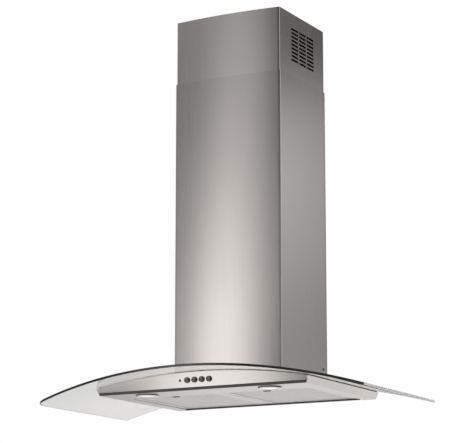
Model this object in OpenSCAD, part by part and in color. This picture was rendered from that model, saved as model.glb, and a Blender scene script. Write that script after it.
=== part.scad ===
// Wall mount range hood with an arched glass canopy and a telescopic chimney.
// Millimetres, +Z up, +X to the viewer's right, the front looks along -Y, the wall is the plane y = 0.
// The origin is the middle of the four wall screws. Each part is drawn from the hood's underside
// and placed() moves it to the origin.

/* [Glass canopy] */
// Width of the glass
glass_w = 898; // [800:1:1000]
// Depth of the glass in the middle, from the wall to the front edge
glass_d = 490; // [460:1:520]
// Depth of the glass at its sides
glass_side_d = 438; // [430:1:455]
// Thickness of the glass
glass_t = 6; // [5:0.5:8]
// Radius of the arch over the glass
arch_r = 1634; // [1500:1:2000]
// Height of the glass above the underside, in the middle
glass_z = 51.4; // [50:0.1:60]
// Radius of the glass's front corners
glass_corner_r = 36; // [8:1:40]
// Gap between the glass and the wall
glass_wall_gap = 2; // [1:0.5:6]

/* [Body] */
// Width of the body at its underside
body_w = 574; // [560:1:620]
// Depth of the body at its underside
body_d = 397; // [390:1:410]
// Lean of the body's sides
side_lean = 23.5; // [15:0.5:30]
// Lean of the front fascia
fascia_lean = 5.2; // [3:0.1:7]
// Thickness of the body's sheet steel
sheet = 1; // [0.8:0.1:1.2]
// Gap between the body's back wall and the wall
back_gap = 17; // [12:1:19]
// Height of the dark strip under the fascia
strip_h = 7; // [5:0.5:9]
// Setback of the dark strip behind the fascia's face
strip_setback = 2; // [1.5:0.5:4]
// Thickness of the glass seal
seal_t = 1.5; // [1:0.1:2]

/* [Lower chimney] */
// Width of the lower chimney
chimney_w = 305; // [295:1:320]
// Depth of the lower chimney in the middle
chimney_d = 266; // [262:1:280]
// Bulge of the chimney's front
chimney_bulge = 9.5; // [6:0.5:14]
// Height of the lower chimney's top above the underside
chimney_top = 819; // [740:1:900]
// Thickness of the chimneys' sheet steel
chimney_t = 0.8; // [0.6:0.1:1]

/* [Upper chimney] */
// Height that the upper chimney shows above the lower one
upper_show = 168; // [150:1:200]
// Length of the upper chimney
upper_len = 470; // [420:1:500]
// Gap between the two chimneys
chimney_gap = 1.2; // [1:0.1:2]
// Vent slots one above the other
vent_rows = 9; // [4:1:12]
// Columns of vent slots
vent_cols = 3; // [1:1:4]
// Length of a vent slot
vent_l = 38.6; // [20:0.2:40]
// Gap between vent columns
vent_gap = 5.7; // [4:0.1:8]
// Distance from the chimney's front corner to the first vent column
vent_start = 65.5; // [40:0.5:70]
// Height of a vent slot
vent_h = 6; // [3:0.1:7]
// Distance between vent rows
vent_pitch = 10.2; // [9:0.1:12]
// Distance from the chimney's top to the first vent row
vent_drop = 38; // [30:1:60]

/* [Blower box] */
// Width of the blower box
box_w = 250; // [244:1:256]
// Depth of the blower box
box_d = 240; // [234:1:244]
// Height of the blower box's top above the underside
box_top = 352; // [340:1:400]
// Thickness of the box's sheet steel
box_t = 1.2; // [1:0.1:1.6]
// Height of the wall screws' middle above the underside
hang_z = 200; // [190:1:215]
// Sideways distance between wall screws
hang_w = 180; // [140:1:200]
// Distance from the upper to the lower wall screws
hang_h = 200; // [160:1:210]
// Radius of a wall screw hole
hang_r = 4.25; // [3:0.25:5]

/* [Fan] */
// Diameter of the fan wheel
wheel_d = 170; // [150:1:174]
// Width of the fan wheel
wheel_w = 132; // [110:1:134]
// Number of blades on the wheel
blades = 36; // [24:1:44]
// Diameter of the motor
motor_d = 88; // [70:1:96]
// Radius of the motor shaft
shaft_r = 4; // [3:0.5:5]
// Outside radius of the duct spigot
spigot_r = 74; // [70:0.5:76]
// Height of the duct spigot
spigot_h = 62; // [55:1:75]

/* [Filters] */
// Width of a grease filter
filter_w = 247; // [230:1:250]
// Depth of a grease filter
filter_d = 273; // [260:1:276]
// Thickness of a grease filter
filter_t = 9; // [8:0.5:12]
// Width of the rail between the filters
rail_w = 8; // [8:1:20]
// Mesh layers in a grease filter
mesh_layers = 4; // [3:1:6]
// Thickness of a mesh layer
layer_t = 0.5; // [0.3:0.1:1]
// Depth of the filters above the underside
filter_recess = 2; // [1.5:0.5:4]
// Travel of a filter latch
latch_travel = 6; // [4:0.5:7]

/* [Controls] */
// Number of push buttons
button_count = 4; // [4:1:4]
// Diameter of a push button
button_d = 14; // [11:0.5:15]
// Distance between buttons
button_pitch = 20.3; // [18:0.1:22]
// Sideways place of the first button
button_x = -33.4; // [-60:0.1:-20]
// Height of the buttons on the fascia
button_z = 24.5; // [20:0.5:27]
// Height that a button stands out of the fascia
button_out = 4.5; // [3.5:0.1:7]
// Travel of a button
button_travel = 3; // [2:0.1:3.4]

/* [Lamps] */
// Sideways distance between the lamps
lamp_span = 343; // [320:1:370]
// Distance from the wall to the lamps
lamp_y = 357; // [340:1:360]
// Outside diameter of a lamp bezel
lamp_d = 59; // [50:1:64]
// Diameter of a lamp lens
lens_d = 44; // [36:1:46]
// Height that a bezel stands out of the underside
bezel_out = 4.5; // [3:0.5:6]

/* [Hidden] */

// Clearances
seat = 0.2;
clear = 0.3;
slip = 0.05;
eps = 1;

// Screws: shank radii, with pan heads in proportion
m3 = 1.5;
m4 = 2;
m5 = 2.5;
head_wide = 1.9;
head_high = 1.2;

// Steel, glass and plastic as seen
steel = [0.72, 0.71, 0.69];
zinc = [0.62, 0.64, 0.66];
black = [0.08, 0.08, 0.09];
pale = [0.9, 0.9, 0.88];

// Arch: the body's top lies under the seal and the glass
glass_under_r = arch_r - glass_t;
body_r = glass_under_r - seal_t;
arch_z = glass_z - arch_r;
front_r = (pow(glass_w / 2, 2) + pow(glass_d - glass_side_d, 2)) / (2 * (glass_d - glass_side_d));
reach = 2000;
over = 120;
lean_run = tan(side_lean);

// Chimneys
chimney_r = (pow(chimney_w / 2, 2) + pow(chimney_bulge, 2)) / (2 * chimney_bulge);
upper_inset = chimney_t + chimney_gap;
upper_top = chimney_top + upper_show;
upper_bottom = upper_top - upper_len;
return_w = 12;

// Blower box
throat_rim = 14;
notch_gap = 5;
throat_w = box_w - 2 * throat_rim;
throat_back = back_gap + sheet + 6;
throat_front = box_d - throat_rim;

// Fan
scroll_half_w = wheel_w / 2 + 6;
scroll_t = 2;
scroll_in_r = wheel_d / 2 + 8;
scroll_grow = 16;
fan_y = -(throat_back + scroll_in_r - 4);
fan_drop = 158;
fan_z = box_top - box_t - fan_drop;
inlet_r = wheel_d / 2 - 8;
neck_front = fan_y - scroll_in_r - scroll_grow;
neck_w = 132;
spigot_y = neck_front + neck_w / 2;
spigot_t = 2;
flange_w = 2 * spigot_r + 14;
flange_t = 1.5;
rod_r = 1.5;
rod_z = box_top + 9;
flap_t = 1.5;
flap_r = spigot_r - spigot_t - 1.2;
flap_root = 5.5;
knuckle_r = 3;
knuckle_l = 16;
stop_w = 8;

// Filters
opening_half_w = rail_w / 2 + 1 + filter_w + 1;
lip_h = 11;
opening_front = 300;
filter_front = opening_front - 1.5;
filter_back = filter_front - filter_d - 1;
hinge_y = -(filter_back - 0.6);
hinge_z = filter_recess + 1;
filter_x = rail_w / 2 + 1 + filter_w / 2;
rear_strip_y = filter_back - 1.9;
rear_strip_drop = 1.5;
tongue_w = 18;
tongue_t = 1.2;
frame_border = 14;
frame_t = 0.8;
pocket_w = 34;
pocket_d = 34;
bolt_w = 16;
bolt_l = 18;
bolt_h = 3;
bolt_out = 0.9;
spring_l = 14;
spring_r = 2.2;
spring_wire_r = 0.35;
spring_turns = 7;

// Controls, in the fascia's own plane
switch_d = 29;
switch_h = 25;
switch_pad = 26;
stem_r = button_d / 2 - 2;
switch_face = button_travel + clear + 3;
pilot_x = button_x - button_pitch;
pilot_r = 3.3;
switch_mid = button_x + (button_count - 2) * button_pitch / 2;
switch_w = button_count * button_pitch + switch_pad;

// Lamps
lens_t = 2;
bezel_in = 6;
sleeve_r = lens_d / 2 + 2;
lens_seat = -bezel_out + 1.2;
holder_t = 1.5;
holder_h = 22;
holder_r = lens_d / 2 + 3;

// Moves a part from the underside at the wall to the origin among the wall screws
module placed() {
    translate([0, 0, -hang_z]) children();
}

// Cylinder along X, from x = 0
module rod_x(r, l, fn = 48) {
    rotate([0, 90, 0]) cylinder(r = r, h = l, $fn = fn);
}

// Cylinder along Y, centred
module rod_y(r, l, fn = 48) {
    rotate([90, 0, 0]) cylinder(r = r, h = l, center = true, $fn = fn);
}

// Block given by its lowest and highest corners
module block(low, high) {
    translate(low) cube(high - low);
}

// Drill along Z, through whatever lies within 10 mm of its middle
module drill(r) {
    translate([0, 0, -10]) cylinder(r = r, h = 20, $fn = 32);
}

// Pan-head screw: its head stands on z = 0 and its shank goes down
module screw(r, l) {
    cylinder(r = head_wide * r, h = head_high * r, $fn = 32);
    translate([0, 0, -l]) cylinder(r = r, h = l + eps, $fn = 32);
}

// Long solid cylinder under the arch of radius r
module under_arch(r) {
    translate([0, -glass_d / 2, arch_z]) rod_y(r, reach, 180);
}

// Places its children on the arch, square to it, at a sideways place x and a height radius r
module on_arch(x, y, r) {
    translate([0, y, arch_z]) rotate([0, asin(x / arch_r), 0]) translate([0, 0, r]) children();
}

// Plane of the fascia: z runs up its face, y points into the body
module on_fascia() {
    translate([0, -body_d, 0]) rotate([fascia_lean, 0, 0]) children();
}

// Solid with the body's leaning sides and arched top, drawn in by an inset
module body_solid(inset = 0) {
    half = body_w / 2 - inset / cos(side_lean);
    h = glass_z;
    intersection() {
        translate([0, eps, 0]) rotate([90, 0, 0]) linear_extrude(body_d + 20)
            polygon([[-half - lean_run * -eps, -eps], [half + lean_run * -eps, -eps],
                     [half + lean_run * h, h], [-half - lean_run * h, h]]);
        under_arch(body_r - inset);
    }
}

// Half-space in front of a depth behind the fascia's face
module ahead_of_fascia(depth) {
    on_fascia() block([-reach / 2, -over / 2, -over / 2], [reach / 2, depth, over]);
}

// Push button holes and the pilot's hole, through the fascia's plane
module control_holes(button_hole_r, pilot_hole_r, from, to) {
    on_fascia() {
        for (i = [0 : button_count - 1])
            translate([button_x + i * button_pitch, from, button_z]) rotate([-90, 0, 0])
                cylinder(r = button_hole_r, h = to - from, $fn = 64);
        translate([pilot_x, from, button_z]) rotate([-90, 0, 0])
            cylinder(r = pilot_hole_r, h = to - from, $fn = 48);
    }
}

// Fascia: leaning front sheet with an arched top edge
module front_fascia() {
    color(steel) placed() difference() {
        intersection() {
            body_solid();
            on_fascia() block([-reach / 2, 0, strip_h], [reach / 2, sheet, over]);
        }
        control_holes(button_d / 2 + clear, pilot_r + slip, -eps, sheet + eps);
    }
}

// Dark strip that closes the body under the fascia
module fascia_strip() {
    color(black) placed() intersection() {
        body_solid();
        on_fascia() block([-reach / 2, strip_setback, 0], [reach / 2, strip_setback + 2, strip_h + 3]);
    }
}

// Places of the four glass screws: sideways, and from the wall
glass_screw_in = 52;
glass_screw_rear = 70;
glass_screw_front = 67;
screw_x = body_w / 2 - glass_screw_in;
screw_rows = [glass_screw_rear, body_d - glass_screw_front];
bush_r = 6;
bush_flange_r = 9;
bush_flange_t = 1;
module at_glass_screws(r) {
    for (side = [-1, 1])
        for (y = screw_rows)
            on_arch(side * screw_x, -y, r) children();
}

// Body shell: arched top, leaning sides and a back wall set off the wall
module body_shell() {
    color(steel) placed() difference() {
        body_solid();
        block([-reach / 2, -reach, -eps - 1], [reach / 2, eps + 1, sheet]);
        ahead_of_fascia(sheet);
        intersection() {
            body_solid(sheet);
            union() {
                block([-reach / 2, -reach, -eps], [reach / 2, -back_gap - sheet, glass_z]);
                block([-reach / 2, -back_gap, -eps], [reach / 2, 2 * eps, glass_z]);
            }
        }
        ahead_of_strip();
        block([-throat_w / 2, -throat_front, sheet], [throat_w / 2, -throat_back, glass_z]);
        at_glass_screws(body_r) drill(m5 + seat);
        at_box_screws() drill(m4 + 2 * slip);
    }
}

// Room that the shell leaves for the strip under the fascia
module ahead_of_strip() {
    on_fascia() block([-reach / 2, -over / 2, -over / 2],
                      [reach / 2, strip_setback + 2 + slip, strip_h + 3 + slip]);
}

// Underside: front and side margins of the body's bottom, with upturned lips round the filters
module underside_panel() {
    color(steel) placed() difference() {
        union() {
            intersection() {
                body_solid();
                block([-reach / 2, -reach, 0], [reach / 2, 0, sheet]);
            }
            block([-opening_half_w - sheet, -opening_front - sheet, 0],
                  [opening_half_w + sheet, -back_gap - sheet - seat, lip_h]);
        }
        block([-opening_half_w, -opening_front, -eps], [opening_half_w, eps, lip_h + eps]);
        ahead_of_fascia(strip_setback + 2 + slip);
        for (side = [-1, 1]) {
            translate([side * lamp_span / 2, -lamp_y, -eps])
                cylinder(r = sleeve_r + slip, h = sheet + 2 * eps, $fn = 64);
            block([side * filter_x - bolt_w / 2 - 2, -opening_front - sheet - eps, filter_recess + 1],
                  [side * filter_x + bolt_w / 2 + 2, -opening_front + eps, filter_recess + bolt_h + 3]);
        }
    }
}

// Dark strip at the rear of the filters, notched for their tongues
module rear_strip() {
    color(black) placed() difference() {
        block([-opening_half_w + seat, -rear_strip_y, -rear_strip_drop],
              [opening_half_w - seat, -back_gap - sheet, lip_h]);
        for (side = [-1, 1], tongue = [-1, 1])
            translate([side * filter_x + tongue * filter_w / 4, 0, 0])
                block([-tongue_w / 2 - clear - seat, -rear_strip_y - eps, hinge_z - tongue_t / 2 - clear],
                      [tongue_w / 2 + clear + seat, 0, lip_h + eps]);
    }
}

// Rail between the filters: hat section from the front lip to the rear strip
module filter_rail() {
    rail_low = filter_recess - 0.2;
    color(steel) placed() difference() {
        block([-rail_w / 2, -opening_front + slip, rail_low], [rail_w / 2, -rear_strip_y - slip, lip_h]);
        block([-rail_w / 2 + sheet, -opening_front - eps, rail_low + sheet],
              [rail_w / 2 - sheet, 0, lip_h + eps]);
    }
}

// Plan of the glass as an upright solid, less the notch for the blower box
module glass_plan() {
    half = glass_w / 2;
    difference() {
        intersection() {
            block([-half, -glass_d, -reach / 20], [half, -glass_wall_gap, reach / 20]);
            translate([0, front_r - glass_d, -reach / 20])
                cylinder(r = front_r, h = reach / 10, $fn = 360);
        }
        for (side = [-1, 1]) glass_corner(side);
        block([-box_w / 2 - notch_gap, -box_d - notch_gap, -reach], [box_w / 2 + notch_gap, eps, reach]);
    }
}

// Waste outside a rounded front corner of the glass. The corner's arc stands proud of both edges
// by slip, so that it crosses them and doesn't graze them.
corner_waste = 30;
module glass_corner(side) {
    far = front_r - glass_corner_r + slip;
    cx = glass_w / 2 - glass_corner_r + slip;
    cy = front_r - glass_d - sqrt(far * far - cx * cx);
    tip_x = front_r * cx / far;
    tip_y = (cy - front_r + glass_d) * front_r / far + front_r - glass_d;
    mirror([side < 0 ? 1 : 0, 0, 0]) difference() {
        block([tip_x, -glass_d - eps, -reach / 10], [glass_w / 2 + eps, cy, reach / 10]);
        translate([cx, cy, -reach / 5]) cylinder(r = glass_corner_r, h = reach, $fn = 96);
        translate([0, 0, -reach / 5]) linear_extrude(reach)
            polygon([[tip_x - corner_waste, tip_y - corner_waste], [tip_x, tip_y], [cx, cy],
                     [cx - 2 * corner_waste, cy]]);
    }
}

// Glass canopy: bent plate with drilled screw holes
module glass_canopy() {
    color([0.7, 0.8, 0.78, 0.4]) placed() difference() {
        intersection() {
            difference() {
                under_arch(arch_r);
                under_arch(glass_under_r);
            }
            glass_plan();
        }
        at_glass_screws(glass_under_r) drill(bush_r + seat);
    }
}

// Room between the body's top and the glass, which a seal fills
module seal_room() {
    difference() {
        under_arch(glass_under_r - slip);
        under_arch(body_r);
    }
}

// Seal strips between the glass and the body's side edges
seal_w = 10;
module glass_seal() {
    seal_x = body_w / 2 + lean_run * (glass_z - 34) - 2 - seal_w / 2;
    color(black) placed() intersection() {
        seal_room();
        for (side = [-1, 1])
            translate([side * seal_x, 0, 0])
                block([-seal_w / 2, -body_d + 3, 0], [seal_w / 2, -glass_wall_gap - 2, glass_z]);
    }
}

// Rubber bushes in the glass holes
module glass_bushes() {
    top = seal_t + glass_t;
    color(black) placed() at_glass_screws(body_r) rotate_extrude($fn = 48)
        polygon([[m5 + clear, 0], [bush_flange_r, 0], [bush_flange_r, seal_t - slip], [bush_r, seal_t - slip],
                 [bush_r, top], [bush_flange_r, top], [bush_flange_r, top + bush_flange_t],
                 [m5 + clear, top + bush_flange_t]]);
}

// Domed glass screws with their nuts under the body's top
nut_r = 4.6;
nut_h = 4;
module glass_screws() {
    head_z = seal_t + glass_t + bush_flange_t;
    end_z = -sheet - nut_h - 1;
    color(steel) placed() at_glass_screws(body_r) {
        translate([0, 0, head_z]) rotate_extrude($fn = 48)
            polygon([[0, 0], [8.5, 0], [8.2, 1.2], [6.4, 2.6], [3.4, 3.4], [0, 3.6]]);
        translate([0, 0, end_z]) cylinder(r = m5, h = head_z - end_z, $fn = 32);
        translate([0, 0, -sheet - nut_h - slip]) difference() {
            cylinder(r = nut_r, h = nut_h, $fn = 6);
            drill(m5 + slip);
        }
    }
}

// Small pad between the glass and the top of the fascia
pad_w = 6;
pad_x = 5;
module front_glass_pad() {
    color(black) placed() intersection() {
        seal_room();
        block([pad_x - pad_w / 2, -body_d - 4, 0], [pad_x + pad_w / 2, -body_d + 4, glass_z + eps]);
    }
}

// Plan of a chimney as an upright solid: flat sides, bulged front
module chimney_solid(inset, back, low, high) {
    half = chimney_w / 2 - inset;
    intersection() {
        block([-half, -chimney_d, low], [half, -back, high]);
        translate([0, chimney_r - chimney_d, low - eps])
            cylinder(r = chimney_r - inset, h = high - low + 2 * eps, $fn = 360);
    }
}

// Chimney cover: open tube with narrow returns at the wall
module chimney_cover(inset, back, low, high) {
    half = chimney_w / 2 - inset;
    difference() {
        chimney_solid(inset, back, low, high);
        chimney_solid(inset + chimney_t, back + chimney_t, low - eps, high + eps);
        block([-half + return_w, -back - chimney_t - eps, low - eps],
              [half - return_w, eps, high + eps]);
    }
}

// Lower chimney, cut to the glass's arch at its bottom
module lower_chimney() {
    color(steel) placed() difference() {
        chimney_cover(0, 0, 0, chimney_top);
        under_arch(arch_r + clear);
        at_chimney_screws() drill(m3 + seat);
    }
}

// Upper chimney, which slides inside the lower one
module upper_chimney() {
    vent_first = upper_top - vent_drop - vent_h;
    vent_y = -chimney_d + chimney_bulge + upper_inset + vent_start;
    vent_step = vent_l + vent_gap;
    color(steel) placed() difference() {
        chimney_cover(upper_inset, upper_inset, upper_bottom, upper_top);
        for (row = [0 : vent_rows - 1], col = [0 : vent_cols - 1])
            block([-chimney_w, vent_y + col * vent_step, vent_first - row * vent_pitch],
                  [chimney_w, vent_y + col * vent_step + vent_l, vent_first - row * vent_pitch + vent_h]);
    }
}

// Wall bracket inside the top of the upper chimney
bracket_span = 160;
bracket_h = 30;
bracket_t = 1.5;
bracket_drop = 60;
bracket_hole_r = 3.25;
module chimney_bracket() {
    inner = chimney_w / 2 - upper_inset - chimney_t - seat;
    arm = inner - return_w - 3;
    low = upper_top - bracket_drop;
    color(zinc) placed() difference() {
        union() {
            block([-arm, -bracket_t, low], [arm, 0, low + bracket_h]);
            for (side = [0, 1]) mirror([side, 0, 0]) {
                block([arm - bracket_t, -bracket_h, low], [arm, 0, low + bracket_h]);
                block([arm - bracket_t, -bracket_h, low], [inner, -bracket_h + bracket_t, low + bracket_h]);
            }
        }
        for (x = [-bracket_span / 2, bracket_span / 2])
            translate([x, 0, low + bracket_h / 2]) rod_y(bracket_hole_r, 10, 32);
    }
}

// Places of the lower chimney's two side screws, whose heads look outwards along Z
screw_in = 23.5;
screw_up = 82;
module at_chimney_screws() {
    for (side = [0, 1]) mirror([side, 0, 0])
        translate([chimney_w / 2, -screw_in, screw_up]) rotate([0, 90, 0]) children();
}

// Screws through the lower chimney's sides
module chimney_screws() {
    color(steel) placed() at_chimney_screws() screw(m3, 7.5);
}

// Slide pads on the lower chimney's inner sides
slide_pad = [30, 25];
slide_pad_drop = 5;
slide_pad_rear = 60;
slide_pad_front = 66;
module chimney_pads() {
    top = chimney_top - slide_pad_drop;
    color(black) placed() for (side = [0, 1], y = [slide_pad_rear, chimney_d - slide_pad_front])
        mirror([side, 0, 0])
        block([chimney_w / 2 - chimney_t - chimney_gap + clear, -y - slide_pad[0] / 2, top - slide_pad[1]],
              [chimney_w / 2 - chimney_t, -y + slide_pad[0] / 2, top]);
}

// Places of the screws that join the blower box to the body's top
box_screw_in = 6;
box_screw_rear = 60;
box_screw_front = 50;
module at_box_screws() {
    for (side = [-1, 1], y = [box_screw_rear, box_d - box_screw_front])
        on_arch(side * (box_w / 2 - box_screw_in), -y, body_r + seat + box_t) children();
}

// Blower box: hangs on the wall, stands on the body's top and carries the fan
box_flange = 11;
clip_t = 1.2;
clip_h = 14;
module blower_box() {
    half = box_w / 2;
    color(zinc) placed() difference() {
        union() {
            difference() {
                block([-half, -box_d, 0], [half, 0, box_top]);
                block([-half + box_t, -box_d - eps, -eps], [half - box_t, -box_t, box_top - box_t]);
                under_arch(body_r + seat);
            }
            blower_box_floor();
            for (side = [0, 1]) mirror([side, 0, 0])
                block([half - box_flange, -box_d, glass_z], [half, -box_d + box_t, box_top]);
            translate([cap_x, cap_y, cap_z + cap_l / 3])
                cylinder(r = cap_r + slip + clip_t, h = clip_h, $fn = 64);
        }
        translate([cap_x, cap_y, cap_z]) cylinder(r = cap_r + slip, h = cap_l, $fn = 64);
        translate([0, spigot_y, box_top - box_t - eps])
            cylinder(r = neck_w / 2 - 2, h = box_t + 2 * eps, $fn = 96);
        for (x = [-hang_w / 2, hang_w / 2], z = [hang_z - hang_h / 2, hang_z + hang_h / 2])
            translate([x, 0, z]) rod_y(hang_r, 20, 48);
        at_cover_screws() drill(m3 + slip);
        translate([loom_x, loom_back, box_top]) drill(loom_r + 1);
        at_box_screws() drill(m4 + 2 * slip);
        translate([0, spigot_y, box_top]) at_collar_screws() drill(m4);
    }
}

// Floor of the blower box: arched rim round its throat
module blower_box_floor() {
    half = box_w / 2;
    intersection() {
        difference() {
            block([-half, -box_d, 0], [half, 0, glass_z]);
            block([-throat_w / 2, -throat_front, -eps], [throat_w / 2, -throat_back, reach]);
        }
        difference() {
            under_arch(body_r + seat + box_t);
            under_arch(body_r + seat);
        }
    }
}

// Bent tabs on the box's sides that take the chimney's side screws
tab_half = 8;
tab_t = 1.5;
tab_foot = 18;
module chimney_tabs() {
    web_y = -screw_in - tab_half;
    tab_x = chimney_w / 2 - chimney_t - seat;
    low = screw_up - tab_half;
    high = screw_up + tab_half;
    color(zinc) placed() difference() {
        for (side = [0, 1]) mirror([side, 0, 0]) {
            block([box_w / 2, web_y - tab_foot, low], [box_w / 2 + tab_t, web_y, high]);
            block([box_w / 2, web_y - tab_t, low], [tab_x, web_y, high]);
            block([tab_x - tab_t, web_y - tab_t, low], [tab_x, -screw_in + tab_half, high]);
        }
        at_chimney_screws() drill(m3 + slip);
    }
}

// Places of the cover's screws, whose heads look forwards along Z
module at_cover_screws() {
    for (side = [-1, 1], z = [glass_z + 30, (glass_z + box_top) / 2, box_top - 20])
        translate([side * (box_w / 2 - box_screw_in), -box_d - box_t, z]) rotate([90, 0, 0]) children();
}

// Front cover of the blower box
module blower_box_cover() {
    half = box_w / 2;
    color(zinc) placed() difference() {
        block([-half, -box_d - box_t, 0], [half, -box_d, box_top]);
        under_arch(body_r + seat);
        at_cover_screws() drill(m3 + slip);
    }
}

// Cover screws, with the box's bottom screws and the collar's screws
module cover_screws() {
    color(steel) placed() {
        at_cover_screws() screw(m3, 5);
        at_box_screws() screw(m4, 6);
        translate([0, spigot_y, box_top + flange_t]) at_collar_screws() screw(m4 - 2 * slip, 6);
    }
}

// Outline of the scroll across the shaft, drawn in by t. Its wall comes down from the rear of the
// neck, runs round the wheel while its radius grows, and goes up to the front of the neck.
scroll_steps = 24;
module scroll_outline(t, up) {
    r = scroll_in_r - t;
    middle = [fan_y, fan_z];
    top = box_top - box_t - seat + up;
    rear = neck_front + neck_w - t;
    first = acos((rear - fan_y) / r);
    polygon(concat(
        [[rear, top]],
        [for (i = [0 : 9]) let (a = first * (1 - i / 10)) middle + r * [cos(a), sin(a)]],
        [for (i = [0 : scroll_steps])
            let (a = 180 * i / scroll_steps) middle + (r + scroll_grow * a / 180) * [cos(a), -sin(a)]],
        [[neck_front + t, top]]
    ));
}

// One half of the scroll, from the middle plane outwards
module scroll_half() {
    difference() {
        rotate([90, 0, 90]) linear_extrude(scroll_half_w) scroll_outline(0, 0);
        translate([-eps, 0, 0]) rotate([90, 0, 90]) linear_extrude(scroll_half_w - scroll_t + eps)
            scroll_outline(scroll_t, eps);
        translate([0, fan_y, fan_z]) rod_x(inlet_r, scroll_half_w + eps, 96);
    }
}

module scroll_left() {
    color(black) placed() mirror([1, 0, 0]) translate([slip, 0, 0]) scroll_half();
}

module scroll_right() {
    color(black) placed() difference() {
        scroll_half();
        at_motor_mounts() drill(m4 + slip);
    }
}

// Motor: can inside the right half of the wheel
motor_x = 14;
motor_boss_r = 12;
bracket_x = scroll_half_w + 6;
mount_ring_r = (inlet_r + scroll_in_r) / 2;
mount_r = 6.5;
arm_w = 14;
arm_t = 2;
module motor() {
    color(zinc) placed() translate([motor_x, fan_y, fan_z]) difference() {
        union() {
            rod_x(motor_d / 2, bracket_x - motor_x - slip, 96);
            translate([-3, 0, 0]) rod_x(motor_boss_r, 6, 48);
        }
        translate([-motor_boss_r, 0, 0]) rod_x(shaft_r + slip, bracket_x + 2 * motor_boss_r, 48);
    }
}

// Places of the rubber mounts, with Z along the shaft
module at_motor_mounts() {
    for (i = [0 : 2])
        translate([scroll_half_w, fan_y, fan_z]) rotate([90 + i * 120, 0, 0])
            translate([0, mount_ring_r, 0]) rotate([0, 90, 0]) children();
}

// Places of the screws between the bracket and the motor's end face, with Z along the shaft
module at_motor_screws() {
    for (i = [0 : 2])
        translate([bracket_x, fan_y, fan_z]) rotate([120 + i * 120, 0, 0])
            translate([0, motor_boss_r * 2, 0]) rotate([0, 90, 0]) children();
}

// Motor bracket: hub and three arms to the rubber mounts
module motor_bracket() {
    color(zinc) placed() difference() {
        translate([bracket_x, fan_y, fan_z]) {
            rod_x(motor_boss_r * 2 + 10, arm_t, 96);
            for (i = [0 : 2]) rotate([90 + i * 120, 0, 0]) {
                translate([0, 0, -arm_w / 2]) cube([arm_t, mount_ring_r, arm_w]);
                translate([0, mount_ring_r, 0]) rod_x(arm_w / 2, arm_t, 48);
            }
        }
        translate([bracket_x - eps, fan_y, fan_z]) rod_x(shaft_r + 2, arm_t + 2 * eps, 48);
        at_motor_mounts() drill(m4 + slip);
        at_motor_screws() drill(m4 + slip);
    }
}

// Rubber mounts between the bracket and the scroll
module motor_mounts() {
    color(black) placed() at_motor_mounts() difference() {
        cylinder(r = mount_r, h = bracket_x - scroll_half_w, $fn = 48);
        drill(m4 + slip);
    }
}

// Screws through the rubber mounts, and into the motor
module motor_screws() {
    head_z = bracket_x - scroll_half_w + arm_t;
    color(steel) placed() {
        at_motor_mounts() translate([0, 0, head_z]) screw(m4, head_z + scroll_t + 1);
        at_motor_screws() translate([0, 0, arm_t]) screw(m4, arm_t);
    }
}

// Motor shaft
hub_l = 20;
hub_r = 11;
module motor_shaft() {
    color(steel) placed() translate([-hub_l / 2 - 4, fan_y, fan_z])
        rod_x(shaft_r, bracket_x + 6 + hub_l / 2, 48);
}

// Fan wheel: middle disc, hub, forward curved blades and end rings
blade_l = 15;
ring_t = 3;
module impeller() {
    rim_r = wheel_d / 2;
    blade_in = rim_r - blade_l;
    color(black) placed() translate([0, fan_y, fan_z]) rotate([90, 0, 90]) difference() {
        union() {
            translate([0, 0, -1]) cylinder(r = rim_r - 1, h = 2, $fn = 120);
            translate([0, 0, -hub_l / 2]) cylinder(r = hub_r, h = hub_l, $fn = 64);
            for (side = [-1, 1]) translate([0, 0, side * (wheel_w - ring_t) / 2 - ring_t / 2]) difference() {
                cylinder(r = rim_r, h = ring_t, $fn = 120);
                translate([0, 0, -eps]) cylinder(r = blade_in + 5, h = ring_t + 2 * eps, $fn = 120);
            }
            linear_extrude(wheel_w - ring_t + eps, center = true)
                for (i = [0 : blades - 1]) rotate(i * 360 / blades)
                    polygon([[blade_in, 0], [blade_in + 7, 1.2], [rim_r - 1.4, 6.4],
                             [rim_r - 1.8, 7.6], [blade_in + 6.4, 2.6], [blade_in, 1.2]]);
        }
        translate([0, 0, -hub_l]) cylinder(r = shaft_r + slip / 5, h = 2 * hub_l, $fn = 48);
        translate([0, 0, 5]) cylinder(r = motor_boss_r + 0.5, h = hub_l, $fn = 48);
    }
}

// Motor capacitor in its clip on the box's left side
cap_r = 16;
cap_l = 62;
cap_x = -(box_w / 2 - box_t - cap_r - slip - 0.4);
cap_in = 50;
cap_y = -box_d + cap_in;
cap_z = glass_z + cap_in;
blade_lug = [0.8, 6, 9];
module capacitor() {
    color(pale) placed() translate([cap_x, cap_y, cap_z]) {
        cylinder(r = cap_r, h = cap_l, $fn = 64);
        for (x = [-5, 5]) translate([x - blade_lug[0] / 2, -blade_lug[1] / 2, cap_l]) cube(blade_lug);
    }
}

// Places of the collar's screws, from the spigot's axis at the box's top
module at_collar_screws() {
    for (x = [-1, 1], y = [-1, 1])
        translate([x * (flange_w / 2 - 8), y * (flange_w / 2 - 8), 0]) children();
}

// Duct collar: flange and spigot, with stops under the flaps
module outlet_collar() {
    color(black) placed() translate([0, spigot_y, box_top]) difference() {
        union() {
            translate([-flange_w / 2, -flange_w / 2, 0]) cube([flange_w, flange_w, flange_t]);
            cylinder(r = spigot_r, h = spigot_h, $fn = 120);
        }
        at_collar_screws() drill(m4);
        difference() {
            translate([0, 0, -eps]) cylinder(r = spigot_r - spigot_t, h = spigot_h + 2 * eps, $fn = 120);
            for (x = [-1, 1])
                translate([x * (spigot_r - stop_w / 2) - stop_w / 2, -stop_w, flange_t])
                    cube([stop_w, 2 * stop_w, rod_z - box_top - flap_t / 2 - clear - flange_t]);
        }
        translate([0, 0, rod_z - box_top]) rod_y(rod_r + 0.01, 3 * spigot_r, 32);
    }
}

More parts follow.
